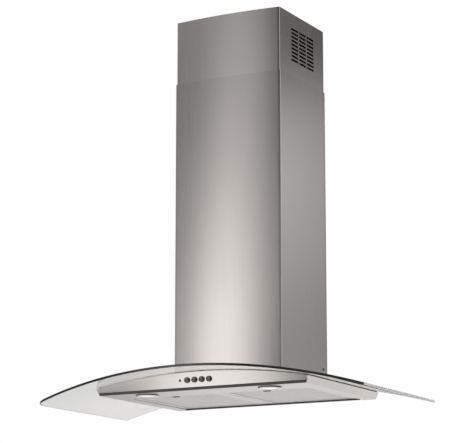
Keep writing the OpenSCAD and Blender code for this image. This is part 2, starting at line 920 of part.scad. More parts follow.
// Rod that carries the two flaps
module flap_rod() {
    color(steel) placed() translate([0, spigot_y, rod_z]) rod_y(rod_r, 2 * spigot_r - 1, 32);
}

// Non-return flap: half disc on the left of the rod, with knuckles at the given places
module flap(knuckles) {
    difference() {
        union() {
            intersection() {
                translate([0, 0, -flap_t / 2]) cylinder(r = flap_r, h = flap_t, $fn = 120);
                block([-flap_r, -flap_r, -flap_t], [-flap_root, flap_r, flap_t]);
            }
            for (y = knuckles) {
                translate([0, y, 0]) rod_y(knuckle_r, knuckle_l, 48);
                block([-flap_root - slip, y - knuckle_l / 2, -flap_t / 2],
                      [-knuckle_r + 0.6, y + knuckle_l / 2, flap_t / 2]);
            }
        }
        rod_y(rod_r + slip, 4 * spigot_r, 48);
    }
}

module flap_left() {
    color(black) placed() translate([0, spigot_y, rod_z]) flap([-52, 0]);
}

module flap_right() {
    color(black) placed() translate([0, spigot_y, rod_z]) mirror([1, 0, 0]) flap([-26, 26]);
}

// Terminal box on top of the blower box, at the rear
term_w = 90;
term_d = 56;
term_h = 34;
term_t = 2;
term_x = box_w / 2 - 1 - term_w / 2;
term_y = -8 - term_d / 2;
block_w = 44;
block_d = 16;
block_x = term_x - 12;
pole_pitch = 14;

// Plate centred in plan, less an even margin, from the terminal box's rim
module term_plate(margin, low, high) {
    block([-term_w / 2 + margin, -term_d / 2 + margin, low],
          [term_w / 2 - margin, term_d / 2 - margin, high]);
}

module terminal_box() {
    color(black) placed() difference() {
        translate([term_x, term_y, box_top]) difference() {
            term_plate(0, 0, term_h);
            term_plate(term_t, term_t, term_h + eps);
        }
        translate([loom_x, loom_back, box_top]) drill(loom_r + 0.5);
    }
}

module terminal_block() {
    color(pale) placed() translate([block_x, term_y, box_top + term_t]) difference() {
        block([-block_w / 2, -block_d / 2, 0], [block_w / 2, block_d / 2, block_d]);
        for (i = [-1 : 1]) translate([i * pole_pitch, 0, 4]) cylinder(r = 3, h = 20, $fn = 32);
    }
}

module terminal_cover() {
    color(black) placed() translate([term_x, term_y, box_top + term_h]) difference() {
        union() {
            term_plate(0, 0, term_t);
            term_plate(term_t + seat, -3, eps);
        }
        term_plate(2 * term_t, -4, 0);
        translate([gland_x - term_x, 0, 0]) drill(gland_r + slip);
    }
}

// Cable gland for the mains lead, with nuts over and under the cover
gland_x = term_x - 20;
gland_r = 8;
gland_bore_r = 4;
gland_l = 24;
gland_low = -6;
module cable_gland() {
    color(black) placed() translate([gland_x, term_y, box_top + term_h]) difference() {
        union() {
            translate([0, 0, gland_low]) cylinder(r = gland_r, h = gland_l, $fn = 48);
            translate([0, 0, term_t]) cylinder(r = gland_r + 4, h = 6, $fn = 6);
            translate([0, 0, gland_low]) cylinder(r = gland_r + 3, h = -gland_low - seat, $fn = 6);
        }
        translate([0, 0, gland_low - eps]) cylinder(r = gland_bore_r, h = gland_l + 2 * eps, $fn = 48);
    }
}

// Wiring loom from the switch to the terminal box
loom_r = 3;
loom_x = 100;
loom_back = -35;
loom_front = -box_d + 25;
loom_turn = -opening_front - 20;
loom_low = button_z + 4;
loom_high = box_top - 12;
loom_path = [
    [switch_mid, -body_d + switch_d - 2.6, loom_low], [switch_mid, loom_turn, loom_low],
    [loom_x, loom_turn, loom_low], [loom_x, loom_front, loom_low],
    [loom_x, loom_front, loom_high], [loom_x, loom_back, loom_high],
    [loom_x, loom_back, box_top + 5]
];

// Round bar between two points
module bar(a, b, r) {
    v = b - a;
    l = norm(v);
    translate(a) rotate([0, acos(v[2] / l), atan2(v[1], v[0])]) cylinder(r = r, h = l, $fn = 32);
}

module wiring_loom() {
    color(black) placed() {
        for (i = [0 : len(loom_path) - 2]) bar(loom_path[i], loom_path[i + 1], loom_r);
        for (i = [1 : len(loom_path) - 2]) translate(loom_path[i]) sphere(r = loom_r, $fn = 32);
    }
}

// Lamp transformer on the underside panel, between the switch and the right lamp
transformer = [60, 40, 26];
transformer_in = 69.5;
transformer_behind = 8;
module lamp_transformer() {
    color(black) placed() translate([lamp_span / 2 - transformer_in - transformer[0] / 2,
                                     -lamp_y - transformer_behind - transformer[1] / 2, sheet])
        cube(transformer);
}

module at_lamp(side) {
    translate([side * lamp_span / 2, -lamp_y, 0]) children();
}

// Lamp bezel: ring under the panel with a sleeve through it
module lamp_bezel(side) {
    lens_r = lens_d / 2;
    color(pale) placed() at_lamp(side) rotate_extrude($fn = 96)
        polygon([[lens_r - 1, -bezel_out + 0.6], [lens_r, -bezel_out], [lamp_d / 2 - 4, -bezel_out],
                 [lamp_d / 2 - 1, -bezel_out * 0.6], [lamp_d / 2, 0], [sleeve_r, 0], [sleeve_r, bezel_in],
                 [lens_r + slip, bezel_in], [lens_r + slip, lens_seat], [lens_r - 1, lens_seat]]);
}

// Frosted lamp lens
module lamp_lens(side) {
    color([0.95, 0.95, 0.9]) placed() at_lamp(side) translate([0, 0, lens_seat]) rotate_extrude($fn = 96)
        polygon([[0, -0.9], [lens_d / 4, -0.7], [lens_d / 2 - 1.6, 0], [lens_d / 2, 0],
                 [lens_d / 2, lens_t], [0, lens_t]]);
}

// Lamp holders: cups on the underside panel
module lamp_holders() {
    color(zinc) placed() for (side = [-1, 1]) at_lamp(side) translate([0, 0, sheet]) difference() {
        cylinder(r = holder_r + holder_t, h = holder_h, $fn = 64);
        translate([0, 0, -eps]) cylinder(r = holder_r, h = holder_h - holder_t + eps, $fn = 64);
        translate([0, 0, holder_h - holder_t - eps]) cylinder(r = 4, h = 5, $fn = 32);
    }
}

// Capsule bulbs in the holders
bulb_r = 4.5;
bulb_h = 15;
bulb_seat_r = 6;
bulb_pin_r = 3.9;
bulb_pin_h = 3;
module lamp_bulbs() {
    base = sheet + holder_h - holder_t;
    color(pale) placed() for (side = [-1, 1]) at_lamp(side) rotate_extrude($fn = 48)
        polygon([[0, base - bulb_h], [bulb_r * 2 / 3, base - bulb_h * 14 / 15],
                 [bulb_r, base - bulb_h * 11 / 15], [bulb_r, base - bulb_h * 4 / 15],
                 [bulb_seat_r, base - bulb_h * 4 / 15], [bulb_seat_r, base], [bulb_pin_r, base],
                 [bulb_pin_r, base + bulb_pin_h], [0, base + bulb_pin_h]]);
}

// Switch housing behind the fascia: thick bored front, hollow rear, and two feet on the fascia
switch_wall = 2;
stem_guide = 12;
switch_foot = 6;
module switch_housing() {
    left = switch_mid - switch_w / 2;
    right = switch_mid + switch_w / 2;
    low = button_z - switch_h / 2;
    high = button_z + switch_h / 2;
    rear = sheet + switch_d;
    color(black) placed() difference() {
        on_fascia() block([left, switch_face, low], [right, rear, high]);
        on_fascia() block([left + switch_wall, switch_face + stem_guide, low + switch_wall],
                          [right - switch_wall, rear - switch_wall, high - switch_wall]);
        control_holes(stem_r + slip, pilot_r - 1 + slip, 0, switch_face + stem_guide + eps);
        on_fascia() translate([switch_mid, rear, button_z + switch_wall])
            rotate([90, 0, 0]) drill(loom_r + 1);
        above_body();
    }
    color(black) placed() difference() {
        on_fascia() for (x = [left, right - switch_foot])
            block([x, sheet, low], [x + switch_foot, switch_face, high]);
        above_body();
    }
}

// Space over the inside of the body's top, which the switch keeps out of
module above_body() {
    difference() {
        block([-reach / 4, -body_d - 20, 0], [reach / 4, -body_d + 60, glass_z + 20]);
        under_arch(body_r - sheet - seat);
    }
}

// Switch board: circuit board with a microswitch behind each button
board_t = 1.6;
board_y = sheet + switch_d - switch_wall - board_t - slip;
micro = [10, 4, 8];
module switch_board() {
    half = switch_w / 2 - switch_wall - seat;
    color([0.1, 0.35, 0.2]) placed() on_fascia() {
        block([switch_mid - half, board_y, button_z - 9],
              [switch_mid + half, board_y + board_t, button_z + 8]);
        for (i = [0 : button_count - 1])
            translate([button_x + i * button_pitch - micro[0] / 2, board_y - micro[1],
                       button_z - micro[2] / 2])
                cube(micro);
    }
}

// Push button: cap and stem, which runs in the switch housing
module button(i) {
    r = button_d / 2;
    stem_end = board_y - micro[1] - button_travel - clear;
    color(black) placed() on_fascia()
        translate([button_x + (i - 1) * button_pitch, 0, button_z]) rotate([-90, 0, 0])
            rotate_extrude($fn = 64)
                polygon([[0, -button_out + 0.5], [r - 2, -button_out], [r - 0.8, -button_out + 0.3],
                         [r, -button_out + 1.2], [r, switch_face - button_travel - clear],
                         [stem_r, switch_face - button_travel - clear], [stem_r, stem_end], [0, stem_end]]);
}

// Pilot lens beside the buttons
module pilot_lens() {
    color([0.5, 0.1, 0.05]) placed() on_fascia() translate([pilot_x, 0, button_z]) rotate([-90, 0, 0])
        rotate_extrude($fn = 48)
            polygon([[0, -1.2], [1.6, -0.9], [pilot_r, 0], [pilot_r, switch_face - slip],
                     [pilot_r - 1, switch_face - slip], [pilot_r - 1, switch_face + 8],
                     [0, switch_face + 8]]);
}

module at_filter(side) {
    translate([side * filter_x, 0, 0]) children();
}

// Filter frame: shallow channel round the mesh, rear tongues and a latch pocket
guide_l = 16;
guide_t = 1.6;
guide_gap = 0.3;
bolt_play = 0.6;
roof_t = 1.2;
key_w = 6.8;
key_front = 7.4;
key_back = 13.2;
stop_t = 1.6;
stop_half_w = 6;
module filter_frame(side) {
    half = filter_w / 2;
    front = -filter_front;
    rear = front + filter_d + 1;
    low = filter_recess;
    high = low + filter_t;
    border = frame_border;
    floor_z = low + frame_t;
    roof_z = floor_z + bolt_h + bolt_play;
    color([0.75, 0.75, 0.74]) placed() at_filter(side) difference() {
        union() {
            difference() {
                block([-half, front, low], [half, rear, high]);
                block([-half + frame_t, front + frame_t, floor_z],
                      [half - frame_t, rear - frame_t, high - frame_t]);
                block([-half + border, front + border, low - eps],
                      [half - border, rear - border, high + eps]);
            }
            block([-pocket_w / 2, front, low], [pocket_w / 2, front + pocket_d, floor_z]);
            for (s = [0, 1]) mirror([s, 0, 0]) {
                guide_x = bolt_w / 2 + guide_gap;
                block([guide_x, front, low], [guide_x + guide_t, front + guide_l, roof_z + roof_t]);
                block([guide_x - guide_t, front, roof_z],
                      [guide_x + guide_t, front + guide_l, roof_z + roof_t]);
                translate([filter_w / 4, 0, 0])
                    block([-tongue_w / 2, rear - frame_t, hinge_z - tongue_t / 2],
                          [tongue_w / 2, -rear_strip_y + 2.6, hinge_z + tongue_t / 2]);
            }
            translate([0, front + bolt_l + spring_l, 0])
                block([-stop_half_w, 0, low], [stop_half_w, stop_t, floor_z + bolt_h + 2]);
        }
        block([-bolt_w / 2 - clear, front - eps, floor_z], [bolt_w / 2 + clear, front + bolt_l, roof_z]);
        block([-key_w / 2 - clear, front + key_front - clear, low - eps],
              [key_w / 2 + clear, front + key_back + clear + latch_travel, floor_z + eps]);
    }
}

// Grease mat of the filter: flat mesh layers, notched round the latch
module filter_mesh(side) {
    margin = frame_t + seat;
    half = filter_w / 2 - margin;
    front = -filter_front + margin;
    rear = -filter_front + filter_d + 1 - margin;
    low = filter_recess + margin;
    pitch = (filter_t - 2 * margin - layer_t) / (mesh_layers - 1);
    color([0.6, 0.6, 0.6]) placed() at_filter(side) difference() {
        for (i = [0 : mesh_layers - 1])
            block([-half, front, low + i * pitch], [half, rear, low + i * pitch + layer_t]);
        block([-pocket_w / 2, front - eps, low - eps],
              [pocket_w / 2, -filter_front + pocket_d + 1, low + filter_t]);
    }
}

// Filter latch: bolt, key through the pocket's floor and ribbed finger grip
grip_w = 16;
grip_front = 4;
grip_back = 15;
grip_t = 2.3;
module filter_latch(side) {
    front = -filter_front;
    low = filter_recess + frame_t + clear;
    grip_low = filter_recess - clear - grip_t;
    color(black) placed() at_filter(side) {
        block([-bolt_w / 2, front - bolt_out, low],
              [bolt_w / 2, front + bolt_l - seat, low + bolt_h - clear]);
        block([-key_w / 2, front + key_front, filter_recess - 0.5], [key_w / 2, front + key_back, low + eps]);
        difference() {
            block([-grip_w / 2, front + grip_front, grip_low],
                  [grip_w / 2, front + grip_back, filter_recess - clear]);
            for (y = [7, 10, 13])
                block([-grip_w / 2 + 2, front + y - 0.5, grip_low - eps],
                      [grip_w / 2 - 2, front + y + 0.5, grip_low + 0.5]);
        }
    }
}

// Point on the latch spring's helix, t running from 0 to 1
function helix(t) = [spring_r * cos(360 * spring_turns * t), spring_l_free * t,
                     spring_r * sin(360 * spring_turns * t)];
spring_l_free = spring_l - 1.4;

// Coil spring behind the bolt
module latch_spring(side) {
    rings = spring_turns * 8;
    sides = 6;
    points = [for (i = [0 : rings], k = [0 : sides - 1])
        let (t = i / rings, a = 360 * spring_turns * t, out = [cos(a), 0, sin(a)])
        helix(t) + spring_wire_r * (cos(60 * k) * out + sin(60 * k) * [0, 1, 0])];
    skin = [for (i = [0 : rings - 1], k = [0 : sides - 1])
        let (n = (k + 1) % sides, a = i * sides, b = a + sides)
        each [[a + k, b + k, b + n], [a + k, b + n, a + n]]];
    caps = [for (k = [1 : sides - 2]) each [[0, k, k + 1],
        [rings * sides, rings * sides + k + 1, rings * sides + k]]];
    color(steel) placed() at_filter(side)
        translate([0, -filter_front + bolt_l + 0.5, filter_recess + frame_t + 2 * clear + spring_r])
            polyhedron(points, concat(skin, caps));
}

module lamp_bezel_left() { lamp_bezel(-1); }
module lamp_bezel_right() { lamp_bezel(1); }
module lamp_lens_left() { lamp_lens(-1); }
module lamp_lens_right() { lamp_lens(1); }
module filter_frame_left() { filter_frame(-1); }
module filter_frame_right() { filter_frame(1); }
module filter_mesh_left() { filter_mesh(-1); }
module filter_mesh_right() { filter_mesh(1); }
module filter_latch_left() { filter_latch(-1); }
module filter_latch_right() { filter_latch(1); }
module latch_spring_left() { latch_spring(-1); }
module latch_spring_right() { latch_spring(1); }

front_fascia();
fascia_strip();
body_shell();
underside_panel();
rear_strip();
filter_rail();
glass_canopy();
glass_seal();
glass_bushes();
glass_screws();
front_glass_pad();
lower_chimney();
upper_chimney();
chimney_bracket();
chimney_screws();
chimney_pads();
chimney_tabs();
blower_box();
blower_box_cover();
cover_screws();
scroll_left();
scroll_right();
motor();
motor_bracket();
motor_mounts();
motor_screws();
motor_shaft();
impeller();
capacitor();
outlet_collar();
flap_rod();
flap_left();
flap_right();
terminal_box();
terminal_block();
terminal_cover();
cable_gland();
wiring_loom();
lamp_transformer();
lamp_bezel_left();
lamp_bezel_right();
lamp_lens_left();
lamp_lens_right();
lamp_holders();
lamp_bulbs();
switch_housing();
switch_board();
pilot_lens();
button(1);  // button_1
button(2);  // button_2
button(3);  // button_3
button(4);  // button_4
filter_frame_left();
filter_mesh_left();
filter_latch_left();
latch_spring_left();
filter_frame_right();
filter_mesh_right();
filter_latch_right();
latch_spring_right();
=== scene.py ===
import math

import bmesh
import bpy
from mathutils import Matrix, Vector


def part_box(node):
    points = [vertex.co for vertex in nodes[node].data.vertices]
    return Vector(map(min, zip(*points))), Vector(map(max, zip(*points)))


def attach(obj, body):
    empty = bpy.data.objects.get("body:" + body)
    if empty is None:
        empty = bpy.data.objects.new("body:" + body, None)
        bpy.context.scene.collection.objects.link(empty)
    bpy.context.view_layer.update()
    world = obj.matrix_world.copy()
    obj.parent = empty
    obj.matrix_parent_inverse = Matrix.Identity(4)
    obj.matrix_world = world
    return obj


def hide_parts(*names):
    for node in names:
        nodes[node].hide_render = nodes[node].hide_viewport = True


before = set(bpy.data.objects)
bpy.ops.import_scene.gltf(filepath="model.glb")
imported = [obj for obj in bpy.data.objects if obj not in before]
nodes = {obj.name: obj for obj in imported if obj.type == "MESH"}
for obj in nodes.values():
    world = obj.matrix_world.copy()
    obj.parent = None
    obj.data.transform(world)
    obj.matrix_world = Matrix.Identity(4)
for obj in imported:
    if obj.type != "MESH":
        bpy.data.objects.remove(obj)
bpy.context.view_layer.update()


# Camera: the hood from the front right and from below, as it is seen by someone at the hob.
# Its place, its turn and its lens are worked out from the hood's straight edges.
camera_data = bpy.data.cameras.new("camera")
camera_data.lens = 155.59
camera_data.sensor_width = 36
camera_data.clip_end = 60
camera = bpy.data.objects.new("camera", camera_data)
camera.location = (2.36618, -4.56571, -0.77583)
camera.rotation_euler = (math.radians(90 + 11.69), 0, math.radians(28.71))
bpy.context.scene.collection.objects.link(camera)
bpy.context.scene.camera = camera
bpy.context.scene.view_settings.view_transform = "Standard"


# Studio: a pale floor at its real distance under the hood, and a plain white world that metal and
# glass see too. A dome of grey gauze round the hood dims what brushed steel reflects from above and
# from the front right, and two soft lamps stand at the front left and at the rear right.
FLOOR_Z = -1.8
FLOOR_HALF = 9
WORLD_FILL = 0.85
GAUZE_R = 3.7
LAMP_DISTANCE = 3.0


def put(tree, kind, inputs=None, **settings):
    """Adds a shader node. Each input takes a value, or the output that it is linked to."""
    node = tree.nodes.new("ShaderNode" + kind)
    for key, value in settings.items():
        setattr(node, key, value)
    for key, value in (inputs or {}).items():
        if isinstance(value, bpy.types.NodeSocket):
            tree.links.new(value, node.inputs[key])
        else:
            node.inputs[key].default_value = value
    return node


def empty_tree(owner):
    """Node tree of a material or world, cleared for its own shaders."""
    owner.use_nodes = True
    owner.node_tree.nodes.clear()
    return owner.node_tree


def seen_directly(tree):
    """1 for rays from the camera, from gloss and through glass, 0 for the rest."""
    path = put(tree, "LightPath")
    first = put(tree, "Math", {0: path.outputs["Is Camera Ray"], 1: path.outputs["Is Glossy Ray"]})
    both = put(tree, "Math", {0: first.outputs[0], 1: path.outputs["Is Transmission Ray"]})
    both.use_clamp = True
    return both.outputs[0], path.outputs["Is Camera Ray"]


world = bpy.data.worlds.new("studio")
bpy.context.scene.world = world
tree = empty_tree(world)
seen, _ = seen_directly(tree)
level = put(tree, "MapRange", {"Value": seen, "To Min": WORLD_FILL, "To Max": 1.0})
sky = put(tree, "Background", {"Color": (1, 1, 1, 1), "Strength": level.outputs[0]})
put(tree, "OutputWorld", {"Surface": sky.outputs[0]})


def mesh_object(name, points, faces, materials, smooth_angle=30):
    """New mesh object from points in metres, smooth but for edges sharper than the angle."""
    mesh = bpy.data.meshes.new(name)
    mesh.from_pydata([tuple(p) for p in points], [], faces)
    mesh.shade_smooth()
    mesh.set_sharp_from_angle(angle=math.radians(smooth_angle))
    for material in materials:
        mesh.materials.append(material)
    made = bpy.data.objects.new(name, mesh)
    bpy.context.scene.collection.objects.link(made)
    return made


floor_paint = bpy.data.materials.new("floor_paint")
tree = empty_tree(floor_paint)
seen, from_camera = seen_directly(tree)
paint = put(tree, "BsdfDiffuse", {"Color": (0.9, 0.9, 0.9, 1)})
white = put(tree, "Emission", {"Color": (1, 1, 1, 1), "Strength": 1.0})
share = put(tree, "Math", {0: seen, 1: 0.7}, operation="MULTIPLY")
pale = put(tree, "MixShader", {0: share.outputs[0], 1: paint.outputs[0], 2: white.outputs[0]})
side = put(tree, "NewGeometry")
under = put(tree, "Math", {0: side.outputs["Backfacing"], 1: from_camera}, operation="MULTIPLY")
clear = put(tree, "BsdfTransparent")
shown = put(tree, "MixShader", {0: under.outputs[0], 1: pale.outputs[0], 2: clear.outputs[0]})
put(tree, "OutputMaterial", {"Surface": shown.outputs[0]})
corners = [(x * FLOOR_HALF, y * FLOOR_HALF, FLOOR_Z) for x, y in ((-1, -1), (1, -1), (1, 1), (-1, 1))]
floor = mesh_object("floor", corners, [(0, 1, 2, 3)], [floor_paint])

GAUZE_LOW = -0.4
GAUZE_FRONT = ((-0.4, 0.6), (-0.2, 0.58), (-0.08, 0.33), (0.02, 0.25), (0.1, 0.33), (0.2, 0.24),
               (0.31, 0.205), (0.43, 0.123), (0.65, 0.3), (0.9, 0.5))
GAUZE_BACK = ((-0.07, 1.0), (0.03, 0.45), (0.1, 0.3), (0.19, 0.42), (0.29, 0.66), (0.36, 0.57), (0.405, 0.38),
              (0.44, 0.12), (0.5, 0.0), (0.65, 0.3), (0.9, 0.4))
LAMP_GLOW = ((-0.2, 0.55), (0.0, 0.6), (0.1, 0.75), (0.18, 0.68), (0.24, 0.54), (0.31, 0.4),
             (0.37, 0.31), (0.46, 0.25), (0.7, 0.0))
LAMP_LEVEL = 2.0
LAMP_BEARING = 27
LAMP_LEAN = -6
LAMP_EDGE = 0.978
FRONT_BEARING = 25
LEFT_BEARING = 115
REAR_LEFT_BEARING = 110
RIGHT_BEARING = -80
REAR_RIGHT_BEARING = -120
RIGHT_GREY = (0.6, 0.6, 0.6, 1)


def height_ramp(tree, height, stops):
    """Grey by height over the dome's radius, smooth between stops of height and grey."""
    place = put(tree, "MapRange", {"Value": height, "From Min": GAUZE_LOW, "From Max": 1.0})
    ramp = put(tree, "ValToRGB", {"Fac": place.outputs[0]})
    ramp.color_ramp.interpolation = "B_SPLINE"
    while len(ramp.color_ramp.elements) < len(stops):
        ramp.color_ramp.elements.new(0.5)
    for element, (at, grey) in zip(ramp.color_ramp.elements, stops):
        element.position = (at - GAUZE_LOW) / (1 - GAUZE_LOW)
        element.color = (grey, grey, grey, 1)
    return ramp.outputs["Color"]


def bearing(angle):
    """Level direction at an angle from the front, towards the left."""
    return (-math.sin(math.radians(angle)), -math.cos(math.radians(angle)), 0)


def toward(tree, level, angle, low, high, to_low=0.0, to_high=1.0):
    """Spreads how near a level direction is to a bearing, from low to high cosines."""
    dot = put(tree, "VectorMath", {0: level, 1: bearing(angle)}, operation="DOT_PRODUCT")
    return put(tree, "MapRange", {"Value": dot.outputs["Value"], "From Min": low, "From Max": high,
                                  "To Min": to_low, "To Max": to_high},
               interpolation_type="SMOOTHSTEP").outputs[0]


gauze = bpy.data.materials.new("gauze")
tree = empty_tree(gauze)
place = put(tree, "TexCoord")
direction = put(tree, "VectorMath", {0: place.outputs["Object"]}, operation="NORMALIZE").outputs[0]
height = put(tree, "SeparateXYZ", {0: direction}).outputs["Z"]
flat = put(tree, "VectorMath", {0: direction, 1: (1, 1, 0)}, operation="MULTIPLY").outputs[0]
level = put(tree, "VectorMath", {0: flat}, operation="NORMALIZE").outputs[0]
rise = put(tree, "MapRange", {"Value": height, "From Min": 0.28, "From Max": 0.46}).outputs[0]
dim = put(tree, "MapRange", {"Value": rise, "To Min": 0.55, "To Max": 0.15}).outputs[0]
bright = put(tree, "MapRange", {"Value": rise, "To Min": 1.34, "To Max": 1.6}).outputs[0]
to_left = toward(tree, level, LEFT_BEARING, -0.3, 0.35, dim, bright)
to_right = toward(tree, level, REAR_RIGHT_BEARING, 0.8, 0.9, 0.0, 1.55)
to_rear_left = toward(tree, level, REAR_LEFT_BEARING, 0.55, 0.85, 0.0, 0.6)
to_side = put(tree, "Math", {0: to_right, 1: to_rear_left}).outputs[0]
low_left = toward(tree, level, REAR_LEFT_BEARING, 0.788, 0.883, 1.0, 0.5)
front = put(tree, "VectorMath", {0: height_ramp(tree, height, GAUZE_FRONT), "Scale": to_left},
            operation="SCALE")
raised = put(tree, "MapRange", {"Value": height, "From Min": -0.05, "From Max": 0.3}).outputs[0]
side_share = put(tree, "MapRange", {"Value": raised, "To Min": low_left, "To Max": to_side}).outputs[0]
back = put(tree, "VectorMath", {0: height_ramp(tree, height, GAUZE_BACK), "Scale": side_share},
           operation="SCALE")
in_front = toward(tree, level, FRONT_BEARING, -0.1, 0.55)
both = put(tree, "Mix", {"Factor": in_front, "A": back.outputs[0], "B": front.outputs[0]},
           data_type="RGBA").outputs["Result"]
right = toward(tree, level, RIGHT_BEARING, 0.3, 0.8)
tint = put(tree, "Mix", {"Factor": right, "A": both, "B": RIGHT_GREY}, data_type="RGBA").outputs["Result"]
veil = put(tree, "BsdfTransparent", {"Color": tint})
leaning = put(tree, "MapRange", {"Value": height, "From Min": 0.1, "From Max": 0.45})
upright_strip = toward(tree, level, LAMP_BEARING, LAMP_EDGE, 1.0)
leaning_strip = toward(tree, level, LAMP_BEARING + LAMP_LEAN, LAMP_EDGE, 1.0)
strip = put(tree, "Mix", {"Factor": leaning.outputs[0], "A": upright_strip,
                          "B": leaning_strip}).outputs["Result"]
glow = put(tree, "VectorMath", {0: height_ramp(tree, height, LAMP_GLOW), "Scale": strip}, operation="SCALE")
lit = put(tree, "Emission", {"Color": glow.outputs[0], "Strength": LAMP_LEVEL})
cloth = put(tree, "AddShader", {0: veil.outputs[0], 1: lit.outputs[0]})
put(tree, "OutputMaterial", {"Surface": cloth.outputs[0]})
gauze.cycles.emission_sampling = "NONE"
ball = bmesh.new()
bmesh.ops.create_icosphere(ball, subdivisions=4, radius=GAUZE_R)
mesh = bpy.data.meshes.new("gauze_dome")
ball.to_mesh(mesh)
ball.free()
mesh.materials.append(gauze)
dome = bpy.data.objects.new("gauze_dome", mesh)
bpy.context.scene.collection.objects.link(dome)
for kind in ("camera", "diffuse", "transmission", "shadow", "volume_scatter"):
    setattr(dome, "visible_" + kind, False)


def soft_lamp(name, angle, elevation, width, height, power):
    """Area lamp turned to the hood. Its glow on metal is the dome's."""
    data = bpy.data.lights.new(name, "AREA")
    data.shape = "RECTANGLE"
    data.size = width
    data.size_y = height
    data.energy = power
    lamp = bpy.data.objects.new(name, data)
    rise = math.radians(elevation)
    way = Vector(bearing(angle)) * math.cos(rise) + Vector((0, 0, math.sin(rise)))
    lamp.location = way * LAMP_DISTANCE
    lamp.rotation_euler = way.to_track_quat("Z", "Y").to_euler()
    lamp.visible_camera = False
    lamp.visible_glossy = False
    bpy.context.scene.collection.objects.link(lamp)


soft_lamp("key_lamp", LAMP_BEARING, 8, 1.0, 1.6, 10.0)
soft_lamp("rear_lamp", -153, 12, 1.0, 0.6, 4.0)

# Painted shade: black cards stand close behind the upper chimney's vents and move with them, so no light
# comes through and the vents show the shade inside the chimney. A card shows only to rays that come in
# through its own vents.
CARD_BEHIND = 0.004
CARD_FRONT = -0.196
CARD_REAR = -0.052
CARD_FOOT = 0.132
CARD_HEAD = 0.034
shade = bpy.data.materials.new("painted_shade_card")
tree = empty_tree(shade)
side = put(tree, "NewGeometry")
dark = put(tree, "BsdfDiffuse", {"Color": (0.004, 0.004, 0.004, 1)})
clear = put(tree, "BsdfTransparent")
one_sided = put(tree, "MixShader", {0: side.outputs["Backfacing"], 1: dark.outputs[0], 2: clear.outputs[0]})
put(tree, "OutputMaterial", {"Surface": one_sided.outputs[0]})
low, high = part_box("upper_chimney")
foot_z = high.z - CARD_FOOT
head_z = high.z - CARD_HEAD
for side, way in (("left", -1), ("right", 1)):
    x = way * (high.x - CARD_BEHIND)
    corners = [(x, CARD_FRONT, foot_z), (x, CARD_REAR, foot_z),
               (x, CARD_REAR, head_z), (x, CARD_FRONT, head_z)]
    card = mesh_object("vent_card_" + side, corners[::way], [(0, 1, 2, 3)], [shade])
    for kind in ("diffuse", "glossy", "transmission", "shadow"):
        setattr(card, "visible_" + kind, False)
    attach(card, "upper_chimney")


# Brushed stainless steel: satin sheet, ground in one direction, so that each highlight is drawn out
# across the grain. The grain is vertical on the chimneys and runs along the body's width below.
STEEL = (0.645, 0.608, 0.582)


def principled(name, inputs):
    """Material with one principled shader, and the way in for linked colours and bumps."""
    material = bpy.data.materials.new(name)
    tree = empty_tree(material)
    shader = put(tree, "BsdfPrincipled", inputs)
    put(tree, "OutputMaterial", {"Surface": shader.outputs[0]})
    return material, tree, shader


def grain_noise(tree, scale, detail=4, roughness=0.6, seed_move=0.0):
    """Noise in the piece's own place, stretched by a scale for each axis."""
    place = put(tree, "TexCoord")
    stretch = put(tree, "Mapping", {"Vector": place.outputs["Object"], "Scale": scale,
                                    "Location": (seed_move, seed_move, seed_move)})
    return put(tree, "TexNoise", {"Vector": stretch.outputs[0], "Scale": 1.0, "Detail": detail,
                                  "Roughness": roughness}).outputs["Fac"]


def vary(tree, fac, low, high):
    """Fac from 0.3 to 0.7 spread over low to high: a number, or a colour if they are colours."""
    if isinstance(low, tuple):
        spread = put(tree, "MapRange", {"Value": fac, "From Min": 0.3, "From Max": 0.7})
        return put(tree, "Mix", {"Factor": spread.outputs[0], "A": (*low, 1), "B": (*high, 1)},
                   data_type="RGBA").outputs["Result"]
    return put(tree, "MapRange", {"Value": fac, "From Min": 0.3, "From Max": 0.7,
                                  "To Min": low, "To Max": high}).outputs[0]


def relief(tree, shader, strength, distance, height):
    """Gives a shader's surface a fine relief."""
    bump = put(tree, "Bump", {"Strength": strength, "Distance": distance, "Height": height})
    tree.links.new(bump.outputs[0], shader.inputs["Normal"])


def brushed_steel(name, grain, tangent_axis, roughness, drawn_out, bow=None, painted_tone=1.0):
    """Brushed sheet: grain gives the noise scale along x, y and z. A bow is the radius of a slight bend of
    the normals along x and the place of its crown. The painted tone scales the colour, which makes lighter or
    darker copies of the steel as painted light and shade."""
    material, tree, shader = principled(name, {"Metallic": 1.0, "Anisotropic": drawn_out})
    fine = grain_noise(tree, grain, detail=5)
    cloud = grain_noise(tree, (5, 5, 3), detail=2, seed_move=3.1)
    darker = tuple(c * painted_tone * 0.965 for c in STEEL)
    lighter = tuple(c * painted_tone * 1.035 for c in STEEL)
    tree.links.new(vary(tree, fine, darker, lighter), shader.inputs["Base Color"])
    polish = put(tree, "Math", {0: vary(tree, fine, roughness - 0.03, roughness + 0.03),
                                1: vary(tree, cloud, -0.012, 0.012)})
    tree.links.new(polish.outputs[0], shader.inputs["Roughness"])
    way = put(tree, "Tangent", direction_type="RADIAL", axis=tangent_axis)
    tree.links.new(way.outputs[0], shader.inputs["Tangent"])
    lines = put(tree, "Bump", {"Strength": 0.05, "Distance": 0.00005, "Height": fine})
    if bow:
        radius, crown_x = bow
        x = put(tree, "SeparateXYZ", {0: put(tree, "TexCoord").outputs["Object"]}).outputs["X"]
        aside = put(tree, "Math", {0: x, 1: -crown_x})
        square = put(tree, "Math", {0: aside.outputs[0], 1: aside.outputs[0]}, operation="MULTIPLY")
        drop = put(tree, "Math", {0: square.outputs[0], 1: -0.5 / radius}, operation="MULTIPLY")
        bend = put(tree, "Bump", {"Strength": 1.0, "Distance": 1.0, "Height": drop.outputs[0]})
        tree.links.new(bend.outputs[0], lines.inputs["Normal"])
    tree.links.new(lines.outputs[0], shader.inputs["Normal"])
    return material


def dress(material, *names):
    """Gives CAD nodes their finish."""
    for name in names:
        slots = nodes[name].data.materials
        slots.clear()
        slots.append(material)
